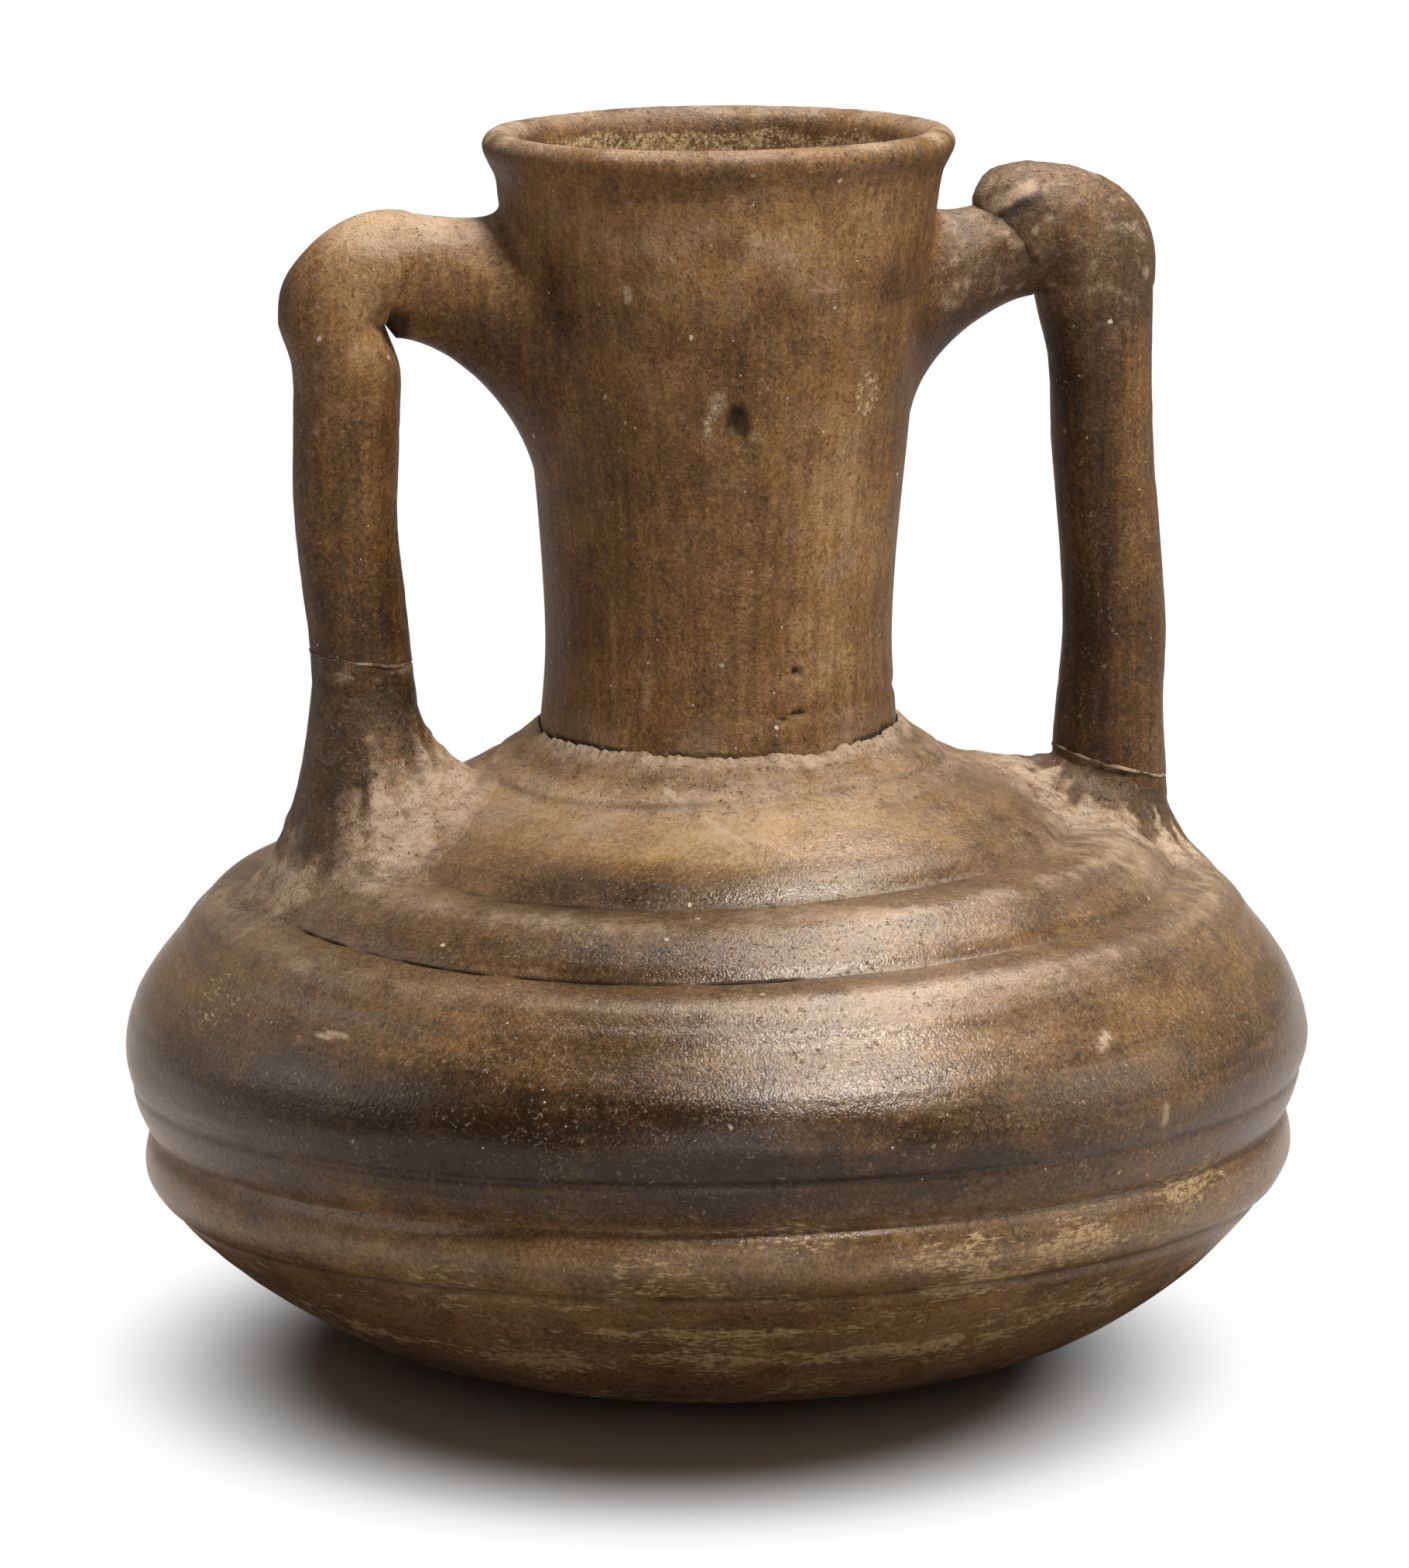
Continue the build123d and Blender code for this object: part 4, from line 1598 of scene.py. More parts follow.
        return drawn_roll(f"{self.name('arm')}_fired", placed, paint)

    def glue(self) -> Piece:
        """The film of glue, squeezed out a little round the break.

        Returns:
            The painted piece.
        """
        reach, half = self.post_middle(self.break_height)
        squeeze = 0.05 + 0.25 * np.maximum(0, Grain(self.seed + 8).lumps(self.turn_spots(), 2.2))
        rings = []
        for level, share, shown in self.glue_rings:
            grown = half * share + shown * squeeze
            ring = self.section((reach, self.break_height), (1.0, 0.0), 1.0, self.flatness)
            ring[:, 0] = reach + (ring[:, 0] - reach) * grown
            ring[:, 1] *= grown
            ring[:, 2] = self.break_at(ring[:, 0], ring[:, 1]) + level * self.glue_half_thickness
            rings.append(ring)
        placed = self.to_pot(np.array(rings))
        paint = fresh_paint(placed.shape[0] * placed.shape[1], 0.5).reshape(placed.shape[:2] + (4,))
        return drawn_roll(f"{self.name('adhesive')}_set", placed, paint)

    def stump(self) -> Piece:
        """The foot of the post, below the break and down into the shoulder.

        Returns:
            The painted piece.
        """
        heights = np.linspace(self.break_height, self.stations[0][1], 60)
        rings = np.array([self.upright_section(height) for height in heights])
        along = self.break_height - heights
        rings = self.drag(rings, -along, 0.10)
        lift = self.break_lift(rings) - self.glue_half_thickness
        rings[..., 2] += lift * ease(7, 0, along)[:, None]
        shoulder = self.shoulder_height(rings[..., 0], rings[..., 1])
        rings[..., 2] = np.maximum(rings[..., 2], shoulder - 1.4)
        placed = self.to_pot(rings)
        return drawn_roll(f"{self.name('stump')}_fired", placed, self.stump_paint(placed))

    def stump_paint(self, placed: Array) -> Array:
        """The dark, soiled clay below the break.

        Args:
            placed: Rings in the pot's own frame.

        Returns:
            Paint, ring by ring.
        """
        flat = placed.reshape(-1, 3)
        paint = fresh_paint(len(flat), self.stump_tone)
        grain = Grain(self.seed + 9)
        paint[:, Grade.TONE] += 0.10 * grain.rough(flat * (1, 1, 0.4), 5.0)
        paint[:, Grade.DUST] += np.maximum(0, 0.5 * grain.rough(flat, 2.6) - 0.05)
        near = ease(4.0, 1.0, self.break_height - flat[:, 2])
        chip = ease(0.15, 0.6, Grain(self.seed + 10).lumps(flat, 3.2))
        paint[:, Grade.DUST] += 0.5 * chip * near
        return paint.reshape(placed.shape[:2] + (4,))

    def shoulder_height(self, reach: Array, depth: Array) -> Array:
        """Height of the shoulder under a place."""
        return self.outline.top_height(np.hypot(reach, depth))

    def shoulder_print(self, scale: float, sink: float) -> Array:
        """The wad's print on the shoulder, sunk by a depth.

        Args:
            scale: Size of the print, 1 for its full size.
            sink: How far under the shoulder's surface it lies.

        Returns:
            A ring of points, as reach, depth and height.
        """
        turn = self.turn_angles()
        ragged = 1 + 0.10 * Grain(self.seed + 11).lumps(self.turn_spots(), 4.0)
        ragged += 0.03 * Grain(self.seed + 12).lumps(self.turn_spots(), 1.5)
        mean = (self.wad_outer - self.wad_inner) / 2
        out = mean + (self.wad_outer - self.wad_centre - mean) * np.cos(turn)
        reach = self.wad_centre + scale * out * np.cos(turn) * ragged
        depth = scale * self.wad_half_width * np.sin(turn) * ragged
        height = self.shoulder_height(reach, depth)
        return self.sunk(np.stack((reach, depth, height), 1), sink)

    def shoulder_wear(self, skirt: Array) -> Array:
        """How far the built shoulder stands off its true line under the points of a skirt.

        Args:
            skirt: Rings, as reach, depth and height.

        Returns:
            A shift for each point of the skirt.
        """
        flat = skirt.reshape(-1, 3)
        below = flat.copy()
        below[:, 2] = self.shoulder_height(flat[:, 0], flat[:, 1])
        true = self.mirror(below)
        moved = self.hand.push(true, self.hand.skin(true, np.ones(len(true))))
        return self.mirror(moved - true).reshape(skirt.shape)

    def shoulder_run(self, ring: Array) -> Array:
        """Directions in which the wad's hem runs out over the shoulder, calm across the grooves.

        Args:
            ring: Points of the hem, as reach, depth and height.

        Returns:
            A direction for each point.
        """
        step = 4.0
        out = unit((ring - (self.wad_centre, 0.0, 0.0)) * (1, 1, 0))
        far = ring + step * out
        near = ring - step * out
        fall = self.shoulder_height(far[:, 0], far[:, 1])
        fall = fall - self.shoulder_height(near[:, 0], near[:, 1])
        out[:, 2] = np.minimum(smooth(fall / (2 * step), 6, "wrap"), 0.2)
        return unit(out)

    def wad(self) -> Piece:
        """The clay pressed round the foot and smeared down over the shoulder with the fingers.

        Returns:
            The painted piece.
        """
        level = self.break_height - self.wad_drop
        reach, half = self.post_middle(level)
        start = self.section((reach, level), (1.0, 0.0), half - 0.15, self.half_width(half - 0.15))
        start[:, 2] = self.break_at(start[:, 0], start[:, 1]) - self.wad_drop
        end = self.shoulder_print(1.0, 0.16)
        run_in = self.shoulder_run(end)
        outward = unit((start - (reach, 0.0, 0.0)) * (1, 1, 0))
        leave = unit(outward * 0.10 + (0.0, 0.0, -1.0))
        inward = (1 - np.cos(self.turn_angles())) / 2
        pull = (0.36 + 0.22 * inward, 0.42 + 0.08 * inward)
        skirt = self.fillet(start, leave, end, run_in, 84, pull)
        strokes = self.strokes(skirt)
        spoke = unit((skirt - (reach, 0.0, 0.0)) * (1, 1, 0))
        skirt = skirt + (spoke * 0.7 + (0, 0, 0.7)) * strokes[..., None]
        near_hem = ease(0.45, 0.92, np.linspace(0, 1, len(skirt)))[:, None, None]
        skirt = skirt + self.shoulder_wear(skirt) * near_hem
        low_reach, low_half = self.post_middle(self.stations[0][1])
        low_half -= 0.4
        foot = self.section((low_reach, 0.0), (1.0, 0.0), low_half, self.half_width(low_half))
        foot[:, 2] = self.shoulder_height(foot[:, 0], foot[:, 1]) - 1.5
        top = start.copy()
        top[:, 0] = reach + (start[:, 0] - reach) * (1 - 0.4 / half)
        top[:, 1] *= 1 - 0.4 / half
        hidden = np.array([self.shoulder_print(0.94, 1.4), foot, top, skirt[0]])
        rings = np.vstack((skirt, hidden))
        placed = self.to_pot(rings)
        flat = placed.reshape(-1, 3)
        below = self.hand.body_paint(self.mirror(rings), flat, np.ones(len(flat)))
        share = np.concatenate((np.linspace(0, 1, len(skirt)), np.ones(len(hidden))))
        paint = self.wad_paint(placed, share, below)
        return drawn_roll(f"{self.name('root_wad')}_fired", placed, paint, closed=True)

    def wad_paint(self, placed: Array, share: Array, below: Array) -> Array:
        """Pale dragged smears over the dark foot, running out into the shoulder's own paint.

        Args:
            placed: Rings in the pot's own frame.
            share: How far down the skirt each ring lies, from 0 to 1.
            below: The shoulder's paint at each point.

        Returns:
            Paint, ring by ring.
        """
        flat = placed.reshape(-1, 3)
        paint = self.stump_paint(placed).reshape(-1, 4)
        down = np.repeat(share, self.around)
        grain = Grain(self.seed + 13)
        fine = Grain(self.seed + 16)
        reach = flat[:, 0] * self.side.value
        outer_side = ease(self.wad_centre - 1, self.wad_centre + 7, reach)
        if self.side is Side.LEFT:
            start, spread, stroke, bare = 0.04 + 0.44 * outer_side, 0.40, 0.10, 0.45
        else:
            start, spread, stroke, bare = 0.32 + 0.12 * outer_side, 0.16, 0.24, 0.0
        around = np.tile(self.turn_spots(), (len(share), 1))
        around[:, 2] = 12 * down
        streak = grain.lumps(around, (0.8, 0.8, 7.0))
        ragged = 0.16 * grain.lumps(flat, 3.0) + 0.10 * fine.lumps(flat, 1.3) + stroke * streak
        smeared = ease(0, 1, (down - start + ragged) / spread)
        paint[:, Grade.TONE] += (0.54 - self.stump_tone) * smeared
        dusty = 0.66 + 0.34 * grain.rough(flat, 3.4) + 0.55 * fine.rough(flat, 1.0) + 0.24 * streak
        dusty = dusty - bare * ease(0.62, 0.18, down + 0.2 * grain.lumps(flat, 4.2))
        paint[:, Grade.DUST] = np.maximum(paint[:, Grade.DUST] * 0.5, smeared * dusty)
        pitted = ease(0.25, 0.60, Grain(self.seed + 17).rough(flat, 2.6))
        paint[:, Grade.SHADE] += 0.42 * pitted * smeared
        hem = ease(0.62, 0.96, down + 0.10 * fine.rough(flat, 2.4))[:, None]
        paint = paint * (1 - hem) + below * hem
        return paint.reshape(placed.shape[:2] + (4,))

    def strokes(self, skirt: Array) -> Array:
        """Finger strokes and lumps on the wad, as distances for rings by points.

        Args:
            skirt: Rings of the wad, as reach, depth and height.

        Returns:
            How far each point stands out.
        """
        count = len(skirt)
        share = np.linspace(0, 1, count)
        grid_turn, grid_share = np.meshgrid(self.turn_angles(), share)
        drift = grid_turn + 0.25 * np.sin(3 * grid_turn) * grid_share
        spots = circle_spots(drift, 11, 9 * grid_share).reshape(-1, 3)
        marks = 0.18 * Grain(self.seed + 14).lumps(spots, (1.3, 1.3, 6.0))
        marks += 0.45 * Grain(self.seed + 15).lumps(skirt.reshape(-1, 3), 5.5)
        marks += 0.42 * Grain(self.seed + 18).lumps(skirt.reshape(-1, 3), 2.0)
        fade = ease(0.10, 0.40, share) * ease(1.0, 0.80, share)
        inward = 0.35 + 0.65 * (1 - np.cos(self.turn_angles())) / 2
        return marks.reshape(count, -1) * fade[:, None] * inward

    def build(
        self,
        handle_clay: Material,
        luting_clay: Material,
        glue: Material,
    ) -> None:
        """Make the handle's pieces and dress them.

        Args:
            handle_clay: Finish of the arm, the post and the stump.
            luting_clay: Finish of the wad.
            glue: Finish of the film in the break.
        """
        finish_piece(self.arm(), self.name("arm"), handle_clay)
        finish_piece(self.post(), self.name("post"), handle_clay)
        finish_piece(self.glue(), self.name("adhesive"), glue)
        finish_piece(self.stump(), self.name("stump"), handle_clay)
        finish_piece(self.wad(), self.name("root_wad"), luting_clay)


def left_handle(outline: PotOutline, hand: PotterHand) -> Handle:
    """The left handle, with a neat elbow and a tall stump."""
    return Handle(
        side=Side.LEFT,
        outline=outline,
        hand=hand,
        fold=(47.1, 144.8),
        stations=(
            (50.3, 62.0, 7.5),
            (50.5, 86.0, 7.3),
            (51.2, 98.0, 7.05),
            (52.2, 108.0, 7.1),
            (53.0, 120.0, 7.2),
            (52.6, 132.0, 7.3),
            (52.5, 139.0, 7.45),
            (54.4, 144.8, 7.3),
        ),
        elbow=((0, 7.3), (24, 7.65), (40, 7.5), (60, 7.6), (83, 7.85), (100, 7.95), (120, 8.0)),
        lap_turn=100.0,
        lap_end=((3, 0.99), (6, 0.97), (9, 0.94), (11, 0.88), (12, 0.7), (12.3, 0.4)),
        arm_turn=94.0,
        arm_half_depth=7.78,
        arm_half_width=7.45,
        arm_drop=1.9,
        neck_top=161.3,
        neck_bottom=120.0,
        neck_half_width=16.5,
        break_height=98.4,
        break_slope=0.14,
        wad_drop=3.0,
        wad_centre=50.5,
        wad_outer=71.0,
        wad_inner=32.6,
        wad_half_width=23.0,
        stump_tone=0.20,
        seed=101,
    )


def right_handle(outline: PotOutline, hand: PotterHand) -> Handle:
    """The right handle, with a heavy lapped elbow and a break close above the shoulder."""
    return Handle(
        side=Side.RIGHT,
        outline=outline,
        hand=hand,
        fold=(45.8, 146.3),
        stations=(
            (58.2, 56.0, 8.8),
            (58.2, 76.0, 8.4),
            (58.2, 86.0, 7.8),
            (58.5, 98.0, 7.5),
            (57.6, 110.0, 7.25),
            (56.4, 122.0, 7.2),
            (55.6, 136.0, 7.4),
            (54.3, 146.3, 8.5),
        ),
        elbow=(
            (0, 8.5), (20, 9.1), (37, 9.35), (52, 9.15), (70, 8.85), (85, 8.8), (101, 9.1), (120, 9.0),
        ),
        lap_turn=106.0,
        lap_end=(
            (4, 0.985), (9, 0.95), (14, 0.88), (18.5, 0.77), (22, 0.62), (24, 0.42), (24.8, 0.2),
        ),
        arm_turn=98.0,
        arm_half_depth=6.9,
        arm_half_width=7.3,
        arm_drop=1.0,
        neck_top=160.0,
        neck_bottom=127.0,
        neck_half_width=15.0,
        break_height=77.4,
        break_slope=-0.30,
        wad_drop=0.9,
        wad_centre=58.2,
        wad_outer=74.5,
        wad_inner=36.0,
        wad_half_width=20.0,
        stump_tone=0.34,
        seed=201,
    )


# Shader writing


class Wire:
    """A shader value that can be used in Python expressions."""

    def __init__(self, bench: "Bench", socket: bpy.types.NodeSocket) -> None:
        """Hold a socket and the bench that it is on."""
        self.bench = bench
        self.socket = socket

    def math(self, operation: str, first: "Wire | float", second: "Wire | float") -> "Wire":
        """A Math node on two values."""
        return self.bench.node("ShaderNodeMath", {"operation": operation}, {0: first, 1: second})

    def __add__(self, other: "Wire | float") -> "Wire":
        """Sum."""
        return self.math("ADD", self, other)

    def __radd__(self, other: float) -> "Wire":
        """Sum, reflected."""
        return self.math("ADD", other, self)

    def __sub__(self, other: "Wire | float") -> "Wire":
        """Difference."""
        return self.math("SUBTRACT", self, other)

    def __rsub__(self, other: float) -> "Wire":
        """Difference, reflected."""
        return self.math("SUBTRACT", other, self)

    def __mul__(self, other: "Wire | float") -> "Wire":
        """Product."""
        return self.math("MULTIPLY", self, other)

    def __rmul__(self, other: float) -> "Wire":
        """Product, reflected."""
        return self.math("MULTIPLY", other, self)

    def stepped(self, low: float, high: float) -> "Wire":
        """A smooth step from 0 at one value to 1 at another."""
        return self.bench.node(
            "ShaderNodeMapRange",
            {"interpolation_type": "SMOOTHSTEP"},
            {"Value": self, "From Min": low, "From Max": high},
        )


class Bench:
    """Writes the nodes of one material or world."""

    def __init__(self, tree: bpy.types.NodeTree) -> None:
        """Start with an empty tree."""
        self.tree = tree
        tree.nodes.clear()

    def node(self, kind: str, settings: dict | None = None, inputs: dict | None = None,
             output: int | str = 0) -> Wire:
        """Add a node, set it up and wire it.

        Args:
            kind: Type of the node.
            settings: Properties to set first; "ramp" gives a colour ramp's stops.
            inputs: Values or wires by socket name or index.
            output: The output wanted.

        Returns:
            The output as a wire.
        """
        made = self.tree.nodes.new(kind)
        for key, value in (settings or {}).items():
            if key == "ramp":
                self.set_ramp(made.color_ramp, value)
            else:
                setattr(made, key, value)
        for key, value in (inputs or {}).items():
            if isinstance(value, Wire):
                self.tree.links.new(value.socket, made.inputs[key])
            else:
                made.inputs[key].default_value = value
        return Wire(self, made.outputs[output])

    def place(self) -> Wire:
        """Object coordinates, in millimetres."""
        metres = self.node("ShaderNodeTexCoord", output="Object")
        values = {0: metres, "Scale": 1 / MM}
        return self.node("ShaderNodeVectorMath", {"operation": "SCALE"}, values)

    def channel(self, colour: Wire, index: int) -> Wire:
        """Red, green or blue of a colour, by its index."""
        return self.node("ShaderNodeSeparateColor", {}, {0: colour}, index)

    def end(self, kind: str, shader: Wire) -> None:
        """Join a shader to the tree's output node."""
        output = self.tree.nodes.new(kind)
        self.tree.links.new(shader.socket, output.inputs[0])

    def set_ramp(self, ramp: bpy.types.ColorRamp, stops: list[tuple[float, Colour]]) -> None:
        """Give a colour ramp its stops."""
        while len(ramp.elements) < len(stops):
            ramp.elements.new(1.0)
        for element, (place, colour) in zip(ramp.elements, stops):
            element.position = place
            element.color = (*colour, 1.0)

    def blend(self, share: "Wire | float", first: "Wire | Colour", second: "Wire | Colour") -> Wire:
        """Mix two colours by a share.

        Args:
            share: Share of the second colour, from 0 to 1.
            first: Colour at 0.
            second: Colour at 1.

        Returns:
            The mixed colour.
        """
        colours = {6: first, 7: second}
        inputs = {k: v if isinstance(v, Wire) else (*v, 1.0) for k, v in colours.items()}
        return self.node("ShaderNodeMix", {"data_type": "RGBA"}, {0: share, **inputs}, 2)

    def tinted(self, share: Wire, colour: Wire, tint: Colour) -> Wire:
        """Multiply a colour by a tint, by a share."""
        settings = {"data_type": "RGBA", "blend_type": "MULTIPLY"}
        return self.node("ShaderNodeMix", settings, {0: share, 6: colour, 7: (*tint, 1.0)}, 2)

    def noise(
        self, place: Wire, stretch: Colour, detail: float = 3.0, roughness: float = 0.55,
    ) -> Wire:
        """Noise from 0 to 1 whose lumps differ in size by direction.

        Args:
            place: Coordinates in millimetres.
            stretch: Lumps per millimetre along X, Y and Z.
            detail: Octaves.
            roughness: Strength of the finer octaves.

        Returns:
            The noise value.
        """
        mapped = self.node("ShaderNodeMapping", {}, {"Vector": place, "Scale": stretch})
        values = {"Vector": mapped, "Scale": 1.0, "Detail": detail, "Roughness": roughness}
        return self.node("ShaderNodeTexNoise", {}, values)


def new_material(name: str) -> tuple[Material, Bench]:
    """A new material, and the bench that writes its nodes."""
    material = bpy.data.materials.new(name)
    material.use_nodes = True
    return material, Bench(material.node_tree)


@dataclass(frozen=True)
class Browns:
    """The clay's colours from the darkest smoke stain to the palest patch."""

    darkest: Colour
    dark: Colour
    middle: Colour
    light: Colour
    palest: Colour

    def stops(self) -> list[tuple[float, Colour]]:
        """The colours as stops of a ramp."""
        return [
            (0.05, self.darkest),
            (0.28, self.dark),
            (0.50, self.middle),
            (0.74, self.light),
            (0.96, self.palest),
        ]


RED_BROWNS = Browns(
    darkest=(0.022, 0.010, 0.003),
    dark=(0.074, 0.035, 0.011),
    middle=(0.168, 0.082, 0.027),
    light=(0.308, 0.172, 0.068),
    palest=(0.460, 0.300, 0.165),
)

GREY_BROWNS = Browns(
    darkest=(0.020, 0.010, 0.004),
    dark=(0.068, 0.036, 0.014),
    middle=(0.162, 0.091, 0.038),
    light=(0.310, 0.188, 0.088),
    palest=(0.460, 0.312, 0.175),
)


@dataclass(frozen=True)
class ClayFinish:
    """Burnished earthenware: its browns, drag direction, gloss and wear."""

    name: str
    browns: Browns
    drag: Colour
    gloss: float = 0.23
    shine: float = 0.5
    mottling: float = 0.50
    dragging: float = 0.30
    flake: Colour = (0.5, 0.5, 2.0)
    dust: Colour = (0.47, 0.35, 0.245)
    crust: Colour = (0.62, 0.455, 0.24)
    old_crust: Colour = (0.33, 0.22, 0.10)
    speck: Colour = (0.74, 0.64, 0.50)
    # Near black of the painted shade.
    painted_shade: Colour = (0.008, 0.005, 0.003)
    speck_share: float = 0.965
    grain_bump: float = 0.50
    ochre: Colour = (1.05, 1.01, 0.82)
    ashen: Colour = (0.94, 0.99, 1.20)
    reflection: Colour = (1.0, 0.95, 0.89)

    def build(self) -> Material:
        """Write the material.

        Returns:
            The new material.
        """
        material, bench = new_material(self.name)
        place = bench.place()
        paint = bench.node("ShaderNodeAttribute", {"attribute_name": PAINT}, output="Color")
        tone = bench.node("ShaderNodeAttribute", {"attribute_name": PAINT}, output="Alpha")
        dust = bench.channel(paint, Grade.DUST)
        shade = bench.channel(paint, Grade.SHADE)
        crust = bench.channel(paint, Grade.CRUST)
        cloud = bench.noise(place, (0.035, 0.035, 0.05), 4.0)
        mottle = bench.noise(place, (0.15, 0.15, 0.20), 5.0, 0.65)
        drag = bench.noise(place, self.drag, 4.0, 0.6)
        tint = bench.noise(place, (0.12, 0.12, 0.17), 5.0, 0.65)
        grain = bench.noise(place, (1.3, 1.3, 1.1), 4.0, 0.70)
        fine = bench.noise(place, (3.0, 3.0, 3.0), 2.0)
        value = tone + 0.45 * (cloud - 0.5) + self.mottling * (mottle - 0.5)
        value = value + self.dragging * (drag - 0.5) + 0.75 * (grain - 0.5) + 0.55 * (fine - 0.5)
        colour = bench.node("ShaderNodeValToRGB", {"ramp": self.browns.stops()}, {0: value})
        colour = bench.tinted(tint.stepped(0.50, 0.66), colour, self.ochre)
        colour = bench.tinted(tint.stepped(0.49, 0.33), colour, self.ashen)
        patches = bench.noise(place, (0.16, 0.16, 0.24), 3.0, 0.6).stepped(0.40, 0.62)
        flecks = bench.noise(place, (1.5, 1.5, 1.9), 4.0, 0.7).stepped(0.57, 0.66) * patches
        colour = bench.blend(flecks * 0.45, colour, self.dust)
        breakup = bench.noise(place, (0.7, 0.7, 1.1), 5.0, 0.62)
        dusty = (dust * (1.05 + 1.9 * (breakup - 0.5) + 1.6 * (fine - 0.5))).stepped(-0.05, 1.05)
        colour = bench.blend(dusty * 0.80, colour, self.dust)
        flaky = bench.noise(place, self.flake, 6.0, 0.74)
        crusty = (crust * 0.8 + 3.8 * (flaky - 0.53) * crust.stepped(0.02, 0.4)).stepped(0.38, 0.54)
        crust_colour = bench.blend(grain.stepped(0.40, 0.60), self.old_crust, self.crust)
        colour = bench.blend(crusty * 0.74, colour, crust_colour)
        specks = self.specks(bench, place, fine, 0.40, self.speck_share)
        specks = specks + self.specks(bench, place, fine, 0.9, self.speck_share)
        colour = bench.blend(specks * 0.85, colour, self.speck)
        scratch = self.scratches(bench, place)
        colour = bench.blend(scratch * 0.16, colour, self.dust)
        pits = bench.noise(place, (1.1, 1.1, 1.3), 4.0, 0.7).stepped(0.40, 0.31)
        colour = bench.blend(pits * 0.45, colour, self.browns.darkest)
        # Painted shade: the shade channel darkens the colour towards near black.
        colour = bench.blend(shade.stepped(0.05, 1.0) * 0.88, colour, self.painted_shade)
        rough = self.gloss + 0.25 * (mottle - 0.5) + 0.20 * (drag - 0.5)
        rough = rough + 0.28 * dusty + 0.35 * crusty + 0.25 * shade
        relief = 0.75 * grain + 0.12 * drag + 0.40 * fine + 0.6 * specks
        relief = relief + 0.9 * crusty * flaky - 0.8 * pits
        bumps = {"Strength": self.grain_bump, "Distance": 0.35 * MM, "Height": relief}
        shader = bench.node("ShaderNodeBsdfPrincipled", {}, {
            "Base Color": colour,
            "Roughness": rough,
            "Normal": bench.node("ShaderNodeBump", {}, bumps),
            "Specular IOR Level": self.shine,
            "Specular Tint": (*self.reflection, 1.0),
        })
        bench.end("ShaderNodeOutputMaterial", shader)
        return material

    def specks(self, bench: Bench, place: Wire, fine: Wire, density: float, share: float) -> Wire:
        """White grit in the clay.

        Args:
            bench: The material's bench.
            place: Coordinates in millimetres.
            fine: Fine noise that makes the specks ragged.
            density: Cells per millimetre.
            share: Share of cells that hold no speck.

        Returns:
            A mask.
        """
        settings = {"feature": "F1", "voronoi_dimensions": "3D"}
        values = {"Vector": place, "Scale": density, "Randomness": 1.0}
        near = bench.node("ShaderNodeTexVoronoi", settings, values, "Distance")
        chance = bench.node("ShaderNodeTexVoronoi", settings, values, "Color")
        chosen = bench.channel(chance, 0).stepped(share, share + 0.04)
        return (near + 0.35 * (fine - 0.5)).stepped(0.16, 0.11) * chosen

    def scratches(self, bench: Bench, place: Wire) -> Wire:
        """Fine pale hairlines where the skin was rubbed.

        Args:
            bench: The material's bench.
            place: Coordinates in millimetres.

        Returns:
            A mask.
        """
        wander = bench.noise(place, (0.10, 0.10, 0.26), 2.0, 0.4)
        line = wander.math("ABSOLUTE", wander - 0.5, 0.0).stepped(0.006, 0.001)
        where = bench.noise(place, (0.06, 0.06, 0.09), 2.0).stepped(0.52, 0.66)
        return line * where


@dataclass(frozen=True)
class GlueFinish:
    """Old yellowed glue in the breaks."""

    name: str
    pale: Colour = (0.42, 0.33, 0.22)
    dark: Colour = (0.10, 0.065, 0.035)

    def build(self) -> Material:
        """Write the material.

        Returns:
            The new material.
        """
        material, bench = new_material(self.name)
        dirt = bench.noise(bench.place(), (0.3, 0.3, 0.3), 4.0, 0.7)
        bumps = {"Strength": 0.3, "Distance": 0.2 * MM, "Height": dirt}
        shader = bench.node("ShaderNodeBsdfPrincipled", {}, {
            "Base Color": bench.blend(dirt.stepped(0.40, 0.60), self.dark, self.pale),
            "Roughness": 0.45 + 0.3 * dirt,
            "Normal": bench.node("ShaderNodeBump", {}, bumps),
        })
        bench.end("ShaderNodeOutputMaterial", shader)
        return material


# Studio


